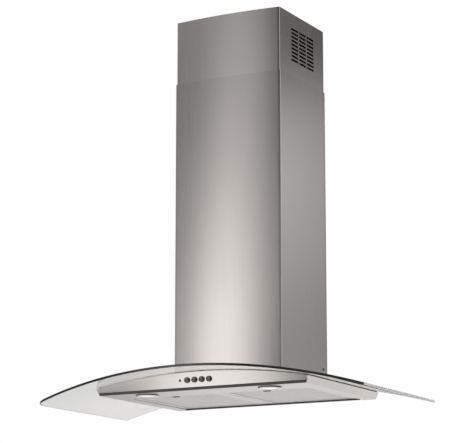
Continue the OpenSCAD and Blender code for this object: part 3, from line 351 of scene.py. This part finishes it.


# Body: fascia, shell and underside panel are bent from 1 mm sheet, with the grain along the width.
# The fascia's normals are bowed as if its middle stood a little proud of its ends, so it mirrors more of the
# room sideways.
FASCIA_BOW = (4.3, 0.11)
# The fascia's copy of the steel is painted a tenth darker, as painted shade, and the shell's copy is painted
# 8 % lighter than the underside's, as painted light.
fascia_steel_painted_darker = brushed_steel("fascia_steel_painted_darker", (4, 700, 700), "X", 0.22, 0.6, FASCIA_BOW, painted_tone=0.9)
body_steel = brushed_steel("body_steel", (4, 700, 700), "X", 0.3, 0.5)
shell_steel_painted_lighter = brushed_steel("shell_steel_painted_lighter", (4, 700, 700), "X", 0.3, 0.5, painted_tone=1.08)
dress(fascia_steel_painted_darker, "front_fascia")
dress(shell_steel_painted_lighter, "body_shell")
dress(body_steel, "underside_panel", "filter_rail")


# Dark strips under the fascia and behind the filters: satin plastic painted near black, which stands in for
# the shade in the gaps there, as painted shade.
strip_painted_shade, tree, shader = principled("strip_painted_shade", {"Roughness": 0.38})
tree.links.new(vary(tree, grain_noise(tree, (30, 300, 300)), (0.032, 0.03, 0.028), (0.05, 0.047, 0.044)),
               shader.inputs["Base Color"])
relief(tree, shader, 0.2, 0.0002, grain_noise(tree, (900, 900, 900)))
dress(strip_painted_shade, "fascia_strip", "rear_strip")


# Grease filters: rolled aluminium frames round mats of expanded mesh. The mats' lowest and highest
# layers are modelled strand by strand, over a plain sheet that stands for the layers between.
aluminium, tree, shader = principled("rolled_aluminium", {"Metallic": 1.0})
streak = grain_noise(tree, (8, 260, 260))
tree.links.new(vary(tree, streak, (0.7, 0.685, 0.67), (0.78, 0.765, 0.75)), shader.inputs["Base Color"])
tree.links.new(vary(tree, streak, 0.34, 0.46), shader.inputs["Roughness"])
dress(aluminium, "filter_frame_left", "filter_frame_right")

strand_metal, tree, shader = principled("strand_aluminium", {"Metallic": 0.85})
pull = grain_noise(tree, (90, 90, 400))
tree.links.new(vary(tree, pull, (0.88, 0.855, 0.84), (0.96, 0.935, 0.92)), shader.inputs["Base Color"])
tree.links.new(vary(tree, pull, 0.42, 0.6), shader.inputs["Roughness"])

STRAND_W = 0.0014
STRAND_T = 0.0005
CELL_L = 0.008
CELL_W = 0.004
POCKET_HALF = 0.0185
POCKET_D = 0.0355
SHEET_COVER = 0.0022


def expanded_layer(points, faces, low, high, z, pocket):
    """Adds zigzag strands along X that meet at their knots, from low to high in plan. The pocket for
    the latch, left free, is the middle of its width, half that width, and how far back it ends."""
    pocket_x, pocket_half, pocket_back = pocket
    rows = int((high.y - low.y) / (CELL_W / 2))
    steps = int((high.x - low.x) / (CELL_L / 2))
    pitch_y = (high.y - low.y - STRAND_W) / rows
    pitch_x = (high.x - low.x) / steps
    for row in range(0, rows, 2):
        before = None
        for step in range(steps + 1):
            x = low.x + step * pitch_x
            y = low.y + STRAND_W / 2 + (row + (step + row // 2) % 2) * pitch_y
            if abs(x - pocket_x) < pocket_half and y < pocket_back:
                before = None
                continue
            ring = []
            for across, up in ((-1, 0), (1, 0), (1, 1), (-1, 1)):
                ring.append(len(points))
                points.append((x, y + across * STRAND_W / 2, z + up * STRAND_T))
            if before:
                for k in range(4):
                    faces.append((before[k], ring[k], ring[(k + 1) % 4], before[(k + 1) % 4]))
            else:
                faces.append(tuple(reversed(ring)))
            before = ring
            if step == steps or (abs(x + pitch_x - pocket_x) < pocket_half and y < pocket_back):
                faces.append(tuple(ring))
                before = None


for side in ("left", "right"):
    low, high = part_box("filter_mesh_" + side)
    centre = (low.x + high.x) / 2
    back = low.y + POCKET_D
    points, faces = [], []
    for z in (low.z, high.z - STRAND_T):
        expanded_layer(points, faces, low, high, z, (centre, POCKET_HALF, back))
    edge = [(low.x, low.y), (centre - POCKET_HALF, low.y), (centre - POCKET_HALF, back),
            (centre + POCKET_HALF, back), (centre + POCKET_HALF, low.y), (high.x, low.y),
            (high.x, high.y), (low.x, high.y)]
    base = len(points)
    points += [(x, y, z) for z in (low.z + SHEET_COVER, high.z - SHEET_COVER) for x, y in edge]
    around = len(edge)
    faces.append(tuple(base + k for k in reversed(range(around))))
    faces.append(tuple(base + around + k for k in range(around)))
    for k in range(around):
        n = (k + 1) % around
        faces.append((base + k, base + n, base + around + n, base + around + k))
    mat = mesh_object("expanded_mesh_" + side, points, faces, [strand_metal], 20)
    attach(mat, "filter_" + side)
    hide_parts("filter_mesh_" + side)


# Filter latches: dark moulded plastic, with a wound steel spring behind each bolt.
latch_plastic, tree, shader = principled("latch_plastic", {"Roughness": 0.6, "IOR": 1.35})
tree.links.new(vary(tree, grain_noise(tree, (250, 250, 250)), (0.016, 0.015, 0.014), (0.03, 0.028, 0.026)),
               shader.inputs["Base Color"])
relief(tree, shader, 0.25, 0.0002, grain_noise(tree, (1500, 1500, 1500)))
dress(latch_plastic, "filter_latch_left", "filter_latch_right")

bright_steel, tree, shader = principled("bright_steel", {"Metallic": 1.0, "Base Color": (0.7, 0.69, 0.68, 1)})
tree.links.new(vary(tree, grain_noise(tree, (400, 400, 400)), 0.16, 0.3), shader.inputs["Roughness"])
dress(bright_steel, "latch_spring_left", "latch_spring_right", "motor_shaft")


# Glass canopy: toughened 6 mm plate, bent over one arch and drilled for its four screws. Its long
# front edge is polished and painted near black, as painted shade for the dark that it shows from inside the
# room, and its other edges are ground.
UNDERSIDE_Z = -0.2
GLASS_T = 0.006
GLASS_TOP_R = 1.634
GLASS_CROWN = 0.0514
GLASS_ARCH_Z = GLASS_CROWN - GLASS_TOP_R + UNDERSIDE_Z
GLASS_HALF = 0.449
GLASS_FRONT = -0.49
GLASS_SIDE_FRONT = -0.438
GLASS_BACK = -0.002
GLASS_CORNER_R = 0.036
NOTCH_HALF = 0.13
NOTCH_FRONT = -0.245
HOLE_X = 0.235
HOLE_ROWS = (-0.07, -0.33)
HOLE_R = 0.0062
HOLE_STEPS = 24
ARRIS = 0.0009
SLICE = 0.006
SLICE_SHIFT = 0.0003
CORNER_STEPS = 12
FRONT_STEPS = 72

clear_glass, tree, shader = principled("clear_glass", {
    "Base Color": (0.89, 0.88, 0.858, 1), "Roughness": 0.0, "IOR": 1.5, "Transmission Weight": 0.7})
relief(tree, shader, 0.01, 0.0003, grain_noise(tree, (3, 3, 3), detail=1))
# The polished edge is opaque, with its colour painted near black: painted shade.
polished_edge_painted_dark, tree, shader = principled("polished_edge_painted_dark", {"Roughness": 0.12, "IOR": 1.5})
tree.links.new(vary(tree, grain_noise(tree, (9, 9, 60)), (0.007, 0.009, 0.009), (0.022, 0.026, 0.025)),
               shader.inputs["Base Color"])
ground_edge, tree, shader = principled("ground_edge", {"Roughness": 0.35, "IOR": 1.5})
shader.inputs["Transmission Weight"].default_value = 0.5
tree.links.new(vary(tree, grain_noise(tree, (60, 60, 300)), (0.84, 0.85, 0.84), (0.94, 0.95, 0.94)),
               shader.inputs["Base Color"])


def arc_points(centre, radius, start, end, steps):
    """Points and outward directions along an arc in plan, with angles in degrees."""
    made = []
    for step in range(steps + 1):
        a = math.radians(start + (end - start) * step / steps)
        out = Vector((math.cos(a), math.sin(a)))
        made.append((Vector(centre) + radius * out, out))
    return made


sag = GLASS_SIDE_FRONT - GLASS_FRONT
front_r = (GLASS_HALF ** 2 + sag ** 2) / (2 * sag)
front_centre = GLASS_FRONT + front_r
corner_x = GLASS_HALF - GLASS_CORNER_R
corner_y = front_centre - math.sqrt((front_r - GLASS_CORNER_R) ** 2 - corner_x ** 2)
corner_turn = math.degrees(math.atan2(corner_y - front_centre, corner_x))
outline = [(Vector((NOTCH_HALF, GLASS_BACK)), None), (Vector((GLASS_HALF, GLASS_BACK)), None)]
outline += arc_points((corner_x, corner_y), GLASS_CORNER_R, 0, corner_turn, CORNER_STEPS)
outline += arc_points((0, front_centre), front_r, corner_turn, -180 - corner_turn, FRONT_STEPS)[1:-1]
outline += arc_points((-corner_x, corner_y), GLASS_CORNER_R, -180 - corner_turn, -180, CORNER_STEPS)
outline += [(Vector((-GLASS_HALF, GLASS_BACK)), None), (Vector((-NOTCH_HALF, GLASS_BACK)), None),
            (Vector((-NOTCH_HALF, NOTCH_FRONT)), None), (Vector((NOTCH_HALF, NOTCH_FRONT)), None)]

flat = bmesh.new()
rim = [flat.verts.new((p.x, p.y, 0)) for p, _ in outline]
edges = [flat.edges.new((rim[k], rim[(k + 1) % len(rim)])) for k in range(len(rim))]
turns = [k * math.pi / (HOLE_STEPS // 2) for k in range(HOLE_STEPS)]
for hole_x, hole_y in [(way * HOLE_X, row) for row in HOLE_ROWS for way in (-1, 1)]:
    ring = [flat.verts.new((hole_x + HOLE_R * math.cos(turn), hole_y + HOLE_R * math.sin(turn), 0))
            for turn in turns]
    edges += [flat.edges.new((ring[k], ring[(k + 1) % HOLE_STEPS])) for k in range(HOLE_STEPS)]
bmesh.ops.triangle_fill(flat, use_beauty=True, use_dissolve=False, edges=edges)
bmesh.ops.recalc_face_normals(flat, faces=flat.faces)
if flat.faces[0].normal.z < 0:
    bmesh.ops.reverse_faces(flat, faces=flat.faces)
bmesh.ops.dissolve_limit(flat, angle_limit=0.01, verts=flat.verts, edges=flat.edges)
slices = int(2 * GLASS_HALF / SLICE)
for k in range(1, slices):
    cut = -GLASS_HALF + 2 * GLASS_HALF * k / slices + SLICE_SHIFT
    bmesh.ops.bisect_plane(flat, geom=flat.verts[:] + flat.edges[:] + flat.faces[:],
                           plane_co=(cut, 0, 0), plane_no=(1, 0, 0), dist=1e-6)
inner = bmesh.ops.inset_region(flat, faces=flat.faces[:], thickness=ARRIS, use_even_offset=True,
                               use_boundary=True)
arris_faces = set(inner["faces"])
flat.verts.index_update()
flat.faces.index_update()


def glass_height(x, radius):
    """Height of the arch at a sideways place."""
    return GLASS_ARCH_Z + math.sqrt(radius ** 2 - x ** 2)


top, under = [], []
for vert in flat.verts:
    x, y = vert.co.x, vert.co.y
    chamfer = ARRIS if any(e.is_boundary for e in vert.link_edges) else 0.0
    top.append((x, y, glass_height(x, GLASS_TOP_R) - chamfer))
    under.append((x, y, glass_height(x, GLASS_TOP_R - GLASS_T) + chamfer))
count = len(top)
faces, kinds = [], []


def edge_kind(x, y):
    """Finish of the glass at an edge: 1 polished along the front, 2 ground elsewhere."""
    return 1 if y < corner_y - 0.2 * GLASS_CORNER_R else 2


for face in flat.faces:
    kind = 0
    if face in arris_faces:
        middle = face.calc_center_median()
        kind = edge_kind(middle.x, middle.y)
    faces.append(tuple(v.index for v in face.verts))
    faces.append(tuple(v.index + count for v in reversed(face.verts)))
    kinds += [kind, kind]
for edge in flat.edges:
    if edge.is_boundary:
        loop = edge.link_loops[0]
        a, b = loop.vert.index, loop.link_loop_next.vert.index
        faces.append((b, a, a + count, b + count))
        middle = (edge.verts[0].co + edge.verts[1].co) / 2
        kinds.append(edge_kind(middle.x, middle.y))
flat.free()
canopy = mesh_object("canopy_glass", top + under, faces, [clear_glass, polished_edge_painted_dark, ground_edge], 20)
canopy.data.polygons.foreach_set("material_index", kinds)
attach(canopy, "hood")
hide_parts("glass_canopy")


# Glass fixings: black rubber seals, pad and bushes, and domed steel screws with nuts below.
rubber, tree, shader = principled("rubber", {"Roughness": 0.7})
tree.links.new(vary(tree, grain_noise(tree, (120, 120, 120)), (0.02, 0.02, 0.02), (0.036, 0.035, 0.034)),
               shader.inputs["Base Color"])
relief(tree, shader, 0.3, 0.0003, grain_noise(tree, (1200, 1200, 1200)))
dress(rubber, "glass_seal", "glass_bushes", "front_glass_pad", "motor_mounts")
domed_steel, tree, shader = principled("domed_steel", {"Metallic": 1.0})
turned = grain_noise(tree, (700, 700, 700))
tree.links.new(vary(tree, turned, (0.62, 0.61, 0.6), (0.72, 0.71, 0.69)), shader.inputs["Base Color"])
tree.links.new(vary(tree, turned, 0.18, 0.32), shader.inputs["Roughness"])
dress(domed_steel, "glass_screws")


# Chimneys: covers bent from 0.8 mm brushed sheet with tight bends, a bulged front, and narrow returns
# at the wall. The upper one slides inside the lower one and has vent slots in both sides.
CHIMNEY_W = 0.305
CHIMNEY_D = 0.266
CHIMNEY_BULGE = 0.0095
CHIMNEY_T = 0.0008
UPPER_INSET = 0.002
RETURN_W = 0.012
BEND_R = 0.0015
BULGE_R = ((CHIMNEY_W / 2) ** 2 + CHIMNEY_BULGE ** 2) / (2 * CHIMNEY_BULGE)
VENT_ROWS = 9
VENT_H = 0.006
VENT_PITCH = 0.0102
VENT_L = 0.0386
VENT_GAP = 0.0057
VENT_COLS = 3
VENT_DROP = 0.038
VENT_START = 0.0655
BEND_MARKS = [-0.0075, -0.2515]
BEND_STEPS = 6
BULGE_STEPS = 40
FOOT_GAP = 0.0003
LOWER_MARKS = [-0.06 * k for k in range(1, 5)]
LOWER_LEVELS = [0.03 + 0.08 * k for k in range(9)]
UPPER_LEVELS = [0.09 * k for k in range(1, 4)]
lower_steel = brushed_steel("lower_steel", (900, 900, 5), "Z", 0.21, 0.7)
# The upper cover's steel is a copy of the lower's, painted 9 % lighter: painted light.
upper_steel_painted_lighter = brushed_steel("upper_steel_painted_lighter", (900, 900, 5), "Z", 0.21, 0.7, painted_tone=1.09)
# The slots' punched walls are rough torn steel, with their colour painted dark for the shade inside the
# slots: painted shade.
punched_steel_painted_dark, tree, shader = principled("punched_steel_painted_dark", {"Metallic": 1.0})
torn = grain_noise(tree, (900, 900, 2500))
tree.links.new(vary(tree, torn, (0.1, 0.095, 0.09), (0.2, 0.19, 0.18)), shader.inputs["Base Color"])
tree.links.new(vary(tree, torn, 0.5, 0.7), shader.inputs["Roughness"])


def cover_plan(inset, side_marks):
    """Outer plan of a cover, from its left return round the front, with side marks in y."""
    half = CHIMNEY_W / 2 - inset
    back = -inset
    centre_y = BULGE_R - CHIMNEY_D
    bulge = BULGE_R - inset
    bend_x = half - BEND_R
    bend_y = centre_y - math.sqrt((bulge - BEND_R) ** 2 - bend_x ** 2)
    turn = math.degrees(math.atan2(bend_y - centre_y, -bend_x)) + 360
    marks = sorted(side_marks, reverse=True)
    left, right = Vector((-1, 0)), Vector((1, 0))
    plan = [(Vector((-half + RETURN_W, back)), Vector((0, 1)))]
    plan += arc_points((-bend_x, back - BEND_R), BEND_R, 90, 180, BEND_STEPS)
    plan += [(Vector((-half, y)), left) for y in marks]
    plan += arc_points((-bend_x, bend_y), BEND_R, 180, turn, BEND_STEPS)
    plan += arc_points((0, centre_y), bulge, turn, 540 - turn, BULGE_STEPS)[1:-1]
    plan += arc_points((bend_x, bend_y), BEND_R, 540 - turn, 360, BEND_STEPS)
    plan += [(Vector((half, y)), right) for y in reversed(marks)]
    plan += arc_points((bend_x, back - BEND_R), BEND_R, 0, 90, BEND_STEPS)
    plan.append((Vector((half - RETURN_W, back)), Vector((0, 1))))
    return plan


def cover(name, materials, plan, levels, foot=None, is_slot=None):
    """Sheet cover: plan carried up through levels of height, with slots left out.
    The second of its materials is for the slots' punched walls."""
    points = []
    for depth in (0.0, CHIMNEY_T):
        for at, out in plan:
            for row, z in enumerate(levels):
                p = at - out * depth
                points.append((p.x, p.y, foot(p.x) if foot and row == 0 else z))
    tall, wide = len(levels), len(plan)
    inner = tall * wide

    def inside(i, k):
        return 0 <= i < wide - 1 and 0 <= k < tall - 1

    def solid(i, k):
        return inside(i, k) and not (is_slot and is_slot(plan[i], plan[i + 1], levels[k], levels[k + 1]))

    faces, kinds = [], []
    for i in range(wide - 1):
        for k in range(tall - 1):
            if not solid(i, k):
                continue
            a, b = i * tall + k, (i + 1) * tall + k
            faces.append((a, b, b + 1, a + 1))
            faces.append((a + inner, a + 1 + inner, b + 1 + inner, b + inner))
            kinds += [0, 0]
            for near, (p, q) in (((i - 1, k), (a + 1, a)), ((i + 1, k), (b, b + 1)),
                                 ((i, k - 1), (a, b)), ((i, k + 1), (b + 1, a + 1))):
                if not solid(*near):
                    faces.append((q, p, p + inner, q + inner))
                    kinds.append(1 if inside(*near) else 0)
    made = mesh_object(name, points, faces, materials)
    made.data.polygons.foreach_set("material_index", kinds)
    return made


def chimney_foot(x):
    """Lower end of the chimney just over the glass."""
    return glass_height(x, GLASS_TOP_R + FOOT_GAP)


low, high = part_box("lower_chimney")
levels = [low.z] + [low.z + up for up in LOWER_LEVELS] + [high.z]
plan = cover_plan(0.0, BEND_MARKS + LOWER_MARKS)
lower_cover = cover("lower_cover", [lower_steel], plan, levels, chimney_foot)
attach(lower_cover, "hood")
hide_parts("lower_chimney")

low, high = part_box("upper_chimney")
vent_y = -CHIMNEY_D + CHIMNEY_BULGE + UPPER_INSET + VENT_START
vent_starts = [vent_y + k * (VENT_L + VENT_GAP) for k in range(VENT_COLS)]
vent_columns = [(start, start + VENT_L) for start in vent_starts]
first_vent = high.z - VENT_DROP - VENT_H
vent_feet = [first_vent - k * VENT_PITCH for k in range(VENT_ROWS)]
vent_rows = [(foot, foot + VENT_H) for foot in vent_feet]


def is_vent(left, right, below, above):
    """Whether a cell of the upper cover's side is a vent slot."""
    y = (left[0].y + right[0].y) / 2
    z = (below + above) / 2
    on_side = abs(left[1].x) > 0.99 and abs(right[1].x) > 0.99
    in_column = any(a < y < b for a, b in vent_columns)
    return on_side and in_column and any(a < z < b for a, b in vent_rows)


vent_levels = sorted(z for row in vent_rows for z in row)
levels = [low.z] + [low.z + up for up in UPPER_LEVELS] + vent_levels + [high.z]
vent_marks = [y for column in vent_columns for y in column]
plan = cover_plan(UPPER_INSET, BEND_MARKS + vent_marks)
upper_cover = cover("upper_cover", [upper_steel_painted_lighter, punched_steel_painted_dark], plan, levels, None, is_vent)
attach(upper_cover, "upper_chimney")
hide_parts("upper_chimney")


# Chimney screws: blackened domed heads, which hold the lower cover to its tabs near the glass.
blackened_steel, tree, shader = principled("blackened_steel", {"Metallic": 1.0})
worn = grain_noise(tree, (600, 600, 600))
tree.links.new(vary(tree, worn, (0.1, 0.097, 0.094), (0.18, 0.175, 0.17)), shader.inputs["Base Color"])
tree.links.new(vary(tree, worn, 0.3, 0.45), shader.inputs["Roughness"])
dress(blackened_steel, "chimney_screws")


# Galvanised steel: blower box, its cover, brackets and tabs, with the zinc's spangle.
zinc, tree, shader = principled("galvanised", {"Metallic": 1.0})
place = put(tree, "TexCoord")
spangle = put(tree, "TexVoronoi", {"Vector": place.outputs["Object"], "Scale": 90.0})
grey = put(tree, "SeparateColor", {0: spangle.outputs["Color"]}).outputs[0]
flake = put(tree, "Mix", {"Factor": grey, "A": (0.44, 0.455, 0.465, 1), "B": (0.6, 0.615, 0.62, 1)},
            data_type="RGBA")
tree.links.new(flake.outputs["Result"], shader.inputs["Base Color"])
dull = put(tree, "MapRange", {"Value": grey, "To Min": 0.42, "To Max": 0.58})
tree.links.new(dull.outputs[0], shader.inputs["Roughness"])
dress(zinc, "blower_box", "blower_box_cover", "cover_screws", "chimney_bracket", "chimney_tabs",
      "motor_bracket", "motor_screws", "flap_rod", "lamp_holders")


# Felt pads: black needled felt that keeps the two chimneys from scratching.
felt, tree, shader = principled("felt", {"Roughness": 0.95})
tree.links.new(vary(tree, grain_noise(tree, (500, 500, 500)), (0.015, 0.015, 0.015), (0.05, 0.05, 0.05)),
               shader.inputs["Base Color"])
relief(tree, shader, 0.8, 0.0006, grain_noise(tree, (900, 900, 900)))
dress(felt, "chimney_pads")


# Moulded black plastic: scroll halves, fan wheel, duct collar with its flaps, terminal box and gland,
# and the housings of the switch and the lamp transformer, all with a fine spark-eroded texture.
black_plastic, tree, shader = principled("black_plastic", {"Roughness": 0.48})
tree.links.new(vary(tree, grain_noise(tree, (60, 60, 60)), (0.03, 0.03, 0.031), (0.046, 0.046, 0.048)),
               shader.inputs["Base Color"])
relief(tree, shader, 0.3, 0.0002, grain_noise(tree, (1400, 1400, 1400)))
dress(black_plastic, "scroll_left", "scroll_right", "impeller", "outlet_collar", "flap_left", "flap_right",
      "terminal_box", "terminal_cover", "cable_gland", "switch_housing", "lamp_transformer")


# Motor and capacitor: a cast aluminium can, and a white capacitor with its two blade terminals.
motor_metal, tree, shader = principled("cast_aluminium", {"Metallic": 1.0})
cast = grain_noise(tree, (160, 160, 160))
tree.links.new(vary(tree, cast, (0.5, 0.5, 0.5), (0.62, 0.62, 0.61)), shader.inputs["Base Color"])
tree.links.new(vary(tree, cast, 0.4, 0.62), shader.inputs["Roughness"])
dress(motor_metal, "motor")
white_plastic, tree, shader = principled("white_plastic", {"Roughness": 0.4})
tree.links.new(vary(tree, grain_noise(tree, (50, 50, 50)), (0.72, 0.72, 0.69), (0.8, 0.8, 0.77)),
               shader.inputs["Base Color"])
dress(white_plastic, "capacitor", "terminal_block")


# Wiring loom: the wires from the switch to the terminal box, in a braided black sleeve.
sleeve, tree, shader = principled("braided_sleeve", {"Roughness": 0.6})
place = put(tree, "TexCoord")
braid = put(tree, "TexVoronoi", {"Vector": place.outputs["Object"], "Scale": 1100.0})
tree.links.new(vary(tree, braid.outputs["Distance"], (0.014, 0.014, 0.014), (0.04, 0.04, 0.04)),
               shader.inputs["Base Color"])
relief(tree, shader, 0.7, 0.0004, braid.outputs["Distance"])
dress(sleeve, "wiring_loom")


# Lamps: satin chrome rings round frosted lenses, and quartz capsule bulbs behind them. The rings' outer slope
# is painted dark as a painted reflection, and the lenses glow faintly as painted light.
lamp_chrome, tree, shader = principled("lamp_chrome", {"Metallic": 1.0})
spun = grain_noise(tree, (300, 300, 300))
# Painted reflection: where the ring slopes outward, found by its normal, its colour is painted dark for the
# dark that the slope mirrors.
tilt = put(tree, "SeparateXYZ", {0: put(tree, "NewGeometry").outputs["True Normal"]}).outputs["Z"]
painted_reflection_slope = put(tree, "MapRange", {"Value": tilt, "From Min": -0.9, "From Max": -0.7})
chrome = vary(tree, spun, (0.7, 0.69, 0.68), (0.78, 0.77, 0.76))
ring = put(tree, "Mix", {"Factor": painted_reflection_slope.outputs[0], "A": chrome, "B": (0.09, 0.086, 0.08, 1)},
           data_type="RGBA")
tree.links.new(ring.outputs["Result"], shader.inputs["Base Color"])
tree.links.new(vary(tree, spun, 0.1, 0.16), shader.inputs["Roughness"])
dress(lamp_chrome, "lamp_bezel_left", "lamp_bezel_right")
frosted, tree, shader = principled("frosted_glass", {"Roughness": 0.4, "IOR": 1.5})
tree.links.new(vary(tree, grain_noise(tree, (80, 80, 80)), (0.9, 0.9, 0.88), (0.96, 0.96, 0.94)),
               shader.inputs["Base Color"])
# Painted light: the lenses glow faintly so that they read white, though the bulbs behind them are not lit.
shader.inputs["Emission Color"].default_value = (1.0, 0.99, 0.96, 1)
shader.inputs["Emission Strength"].default_value = 0.2
relief(tree, shader, 0.2, 0.0002, grain_noise(tree, (900, 900, 900)))
dress(frosted, "lamp_lens_left", "lamp_lens_right")
quartz, tree, shader = principled("quartz_bulb", {"Roughness": 0.1, "IOR": 1.46})
shader.inputs["Transmission Weight"].default_value = 0.6
tree.links.new(vary(tree, grain_noise(tree, (200, 200, 200)), (0.85, 0.85, 0.82), (0.93, 0.93, 0.9)),
               shader.inputs["Base Color"])
dress(quartz, "lamp_bulbs")


# Controls: black domed push buttons, polished on the face and matt on the skirt, and a dark red
# pilot lens in the fascia, over a green board.
button_plastic, tree, shader = principled("button_plastic", {"IOR": 1.85})
moulded = grain_noise(tree, (300, 300, 300))
tree.links.new(vary(tree, moulded, (0.004, 0.004, 0.004), (0.009, 0.009, 0.009)), shader.inputs["Base Color"])
facing = put(tree, "SeparateXYZ", {0: put(tree, "NewGeometry").outputs["True Normal"]}).outputs["Y"]
skirt = put(tree, "MapRange", {"Value": facing, "From Min": -0.75, "From Max": -0.35,
                               "To Min": 0.13, "To Max": 0.65})
tree.links.new(skirt.outputs[0], shader.inputs["Roughness"])
dress(button_plastic, "button_1", "button_2", "button_3", "button_4")
pilot_plastic, tree, shader = principled("pilot_plastic", {"Roughness": 0.15})
tree.links.new(vary(tree, grain_noise(tree, (300, 300, 300)), (0.012, 0.006, 0.005), (0.022, 0.008, 0.007)),
               shader.inputs["Base Color"])
dress(pilot_plastic, "pilot_lens")
board, tree, shader = principled("coated_board", {"Roughness": 0.35})
tree.links.new(vary(tree, grain_noise(tree, (250, 250, 250)), (0.02, 0.11, 0.05), (0.04, 0.17, 0.08)),
               shader.inputs["Base Color"])
dress(board, "switch_board")
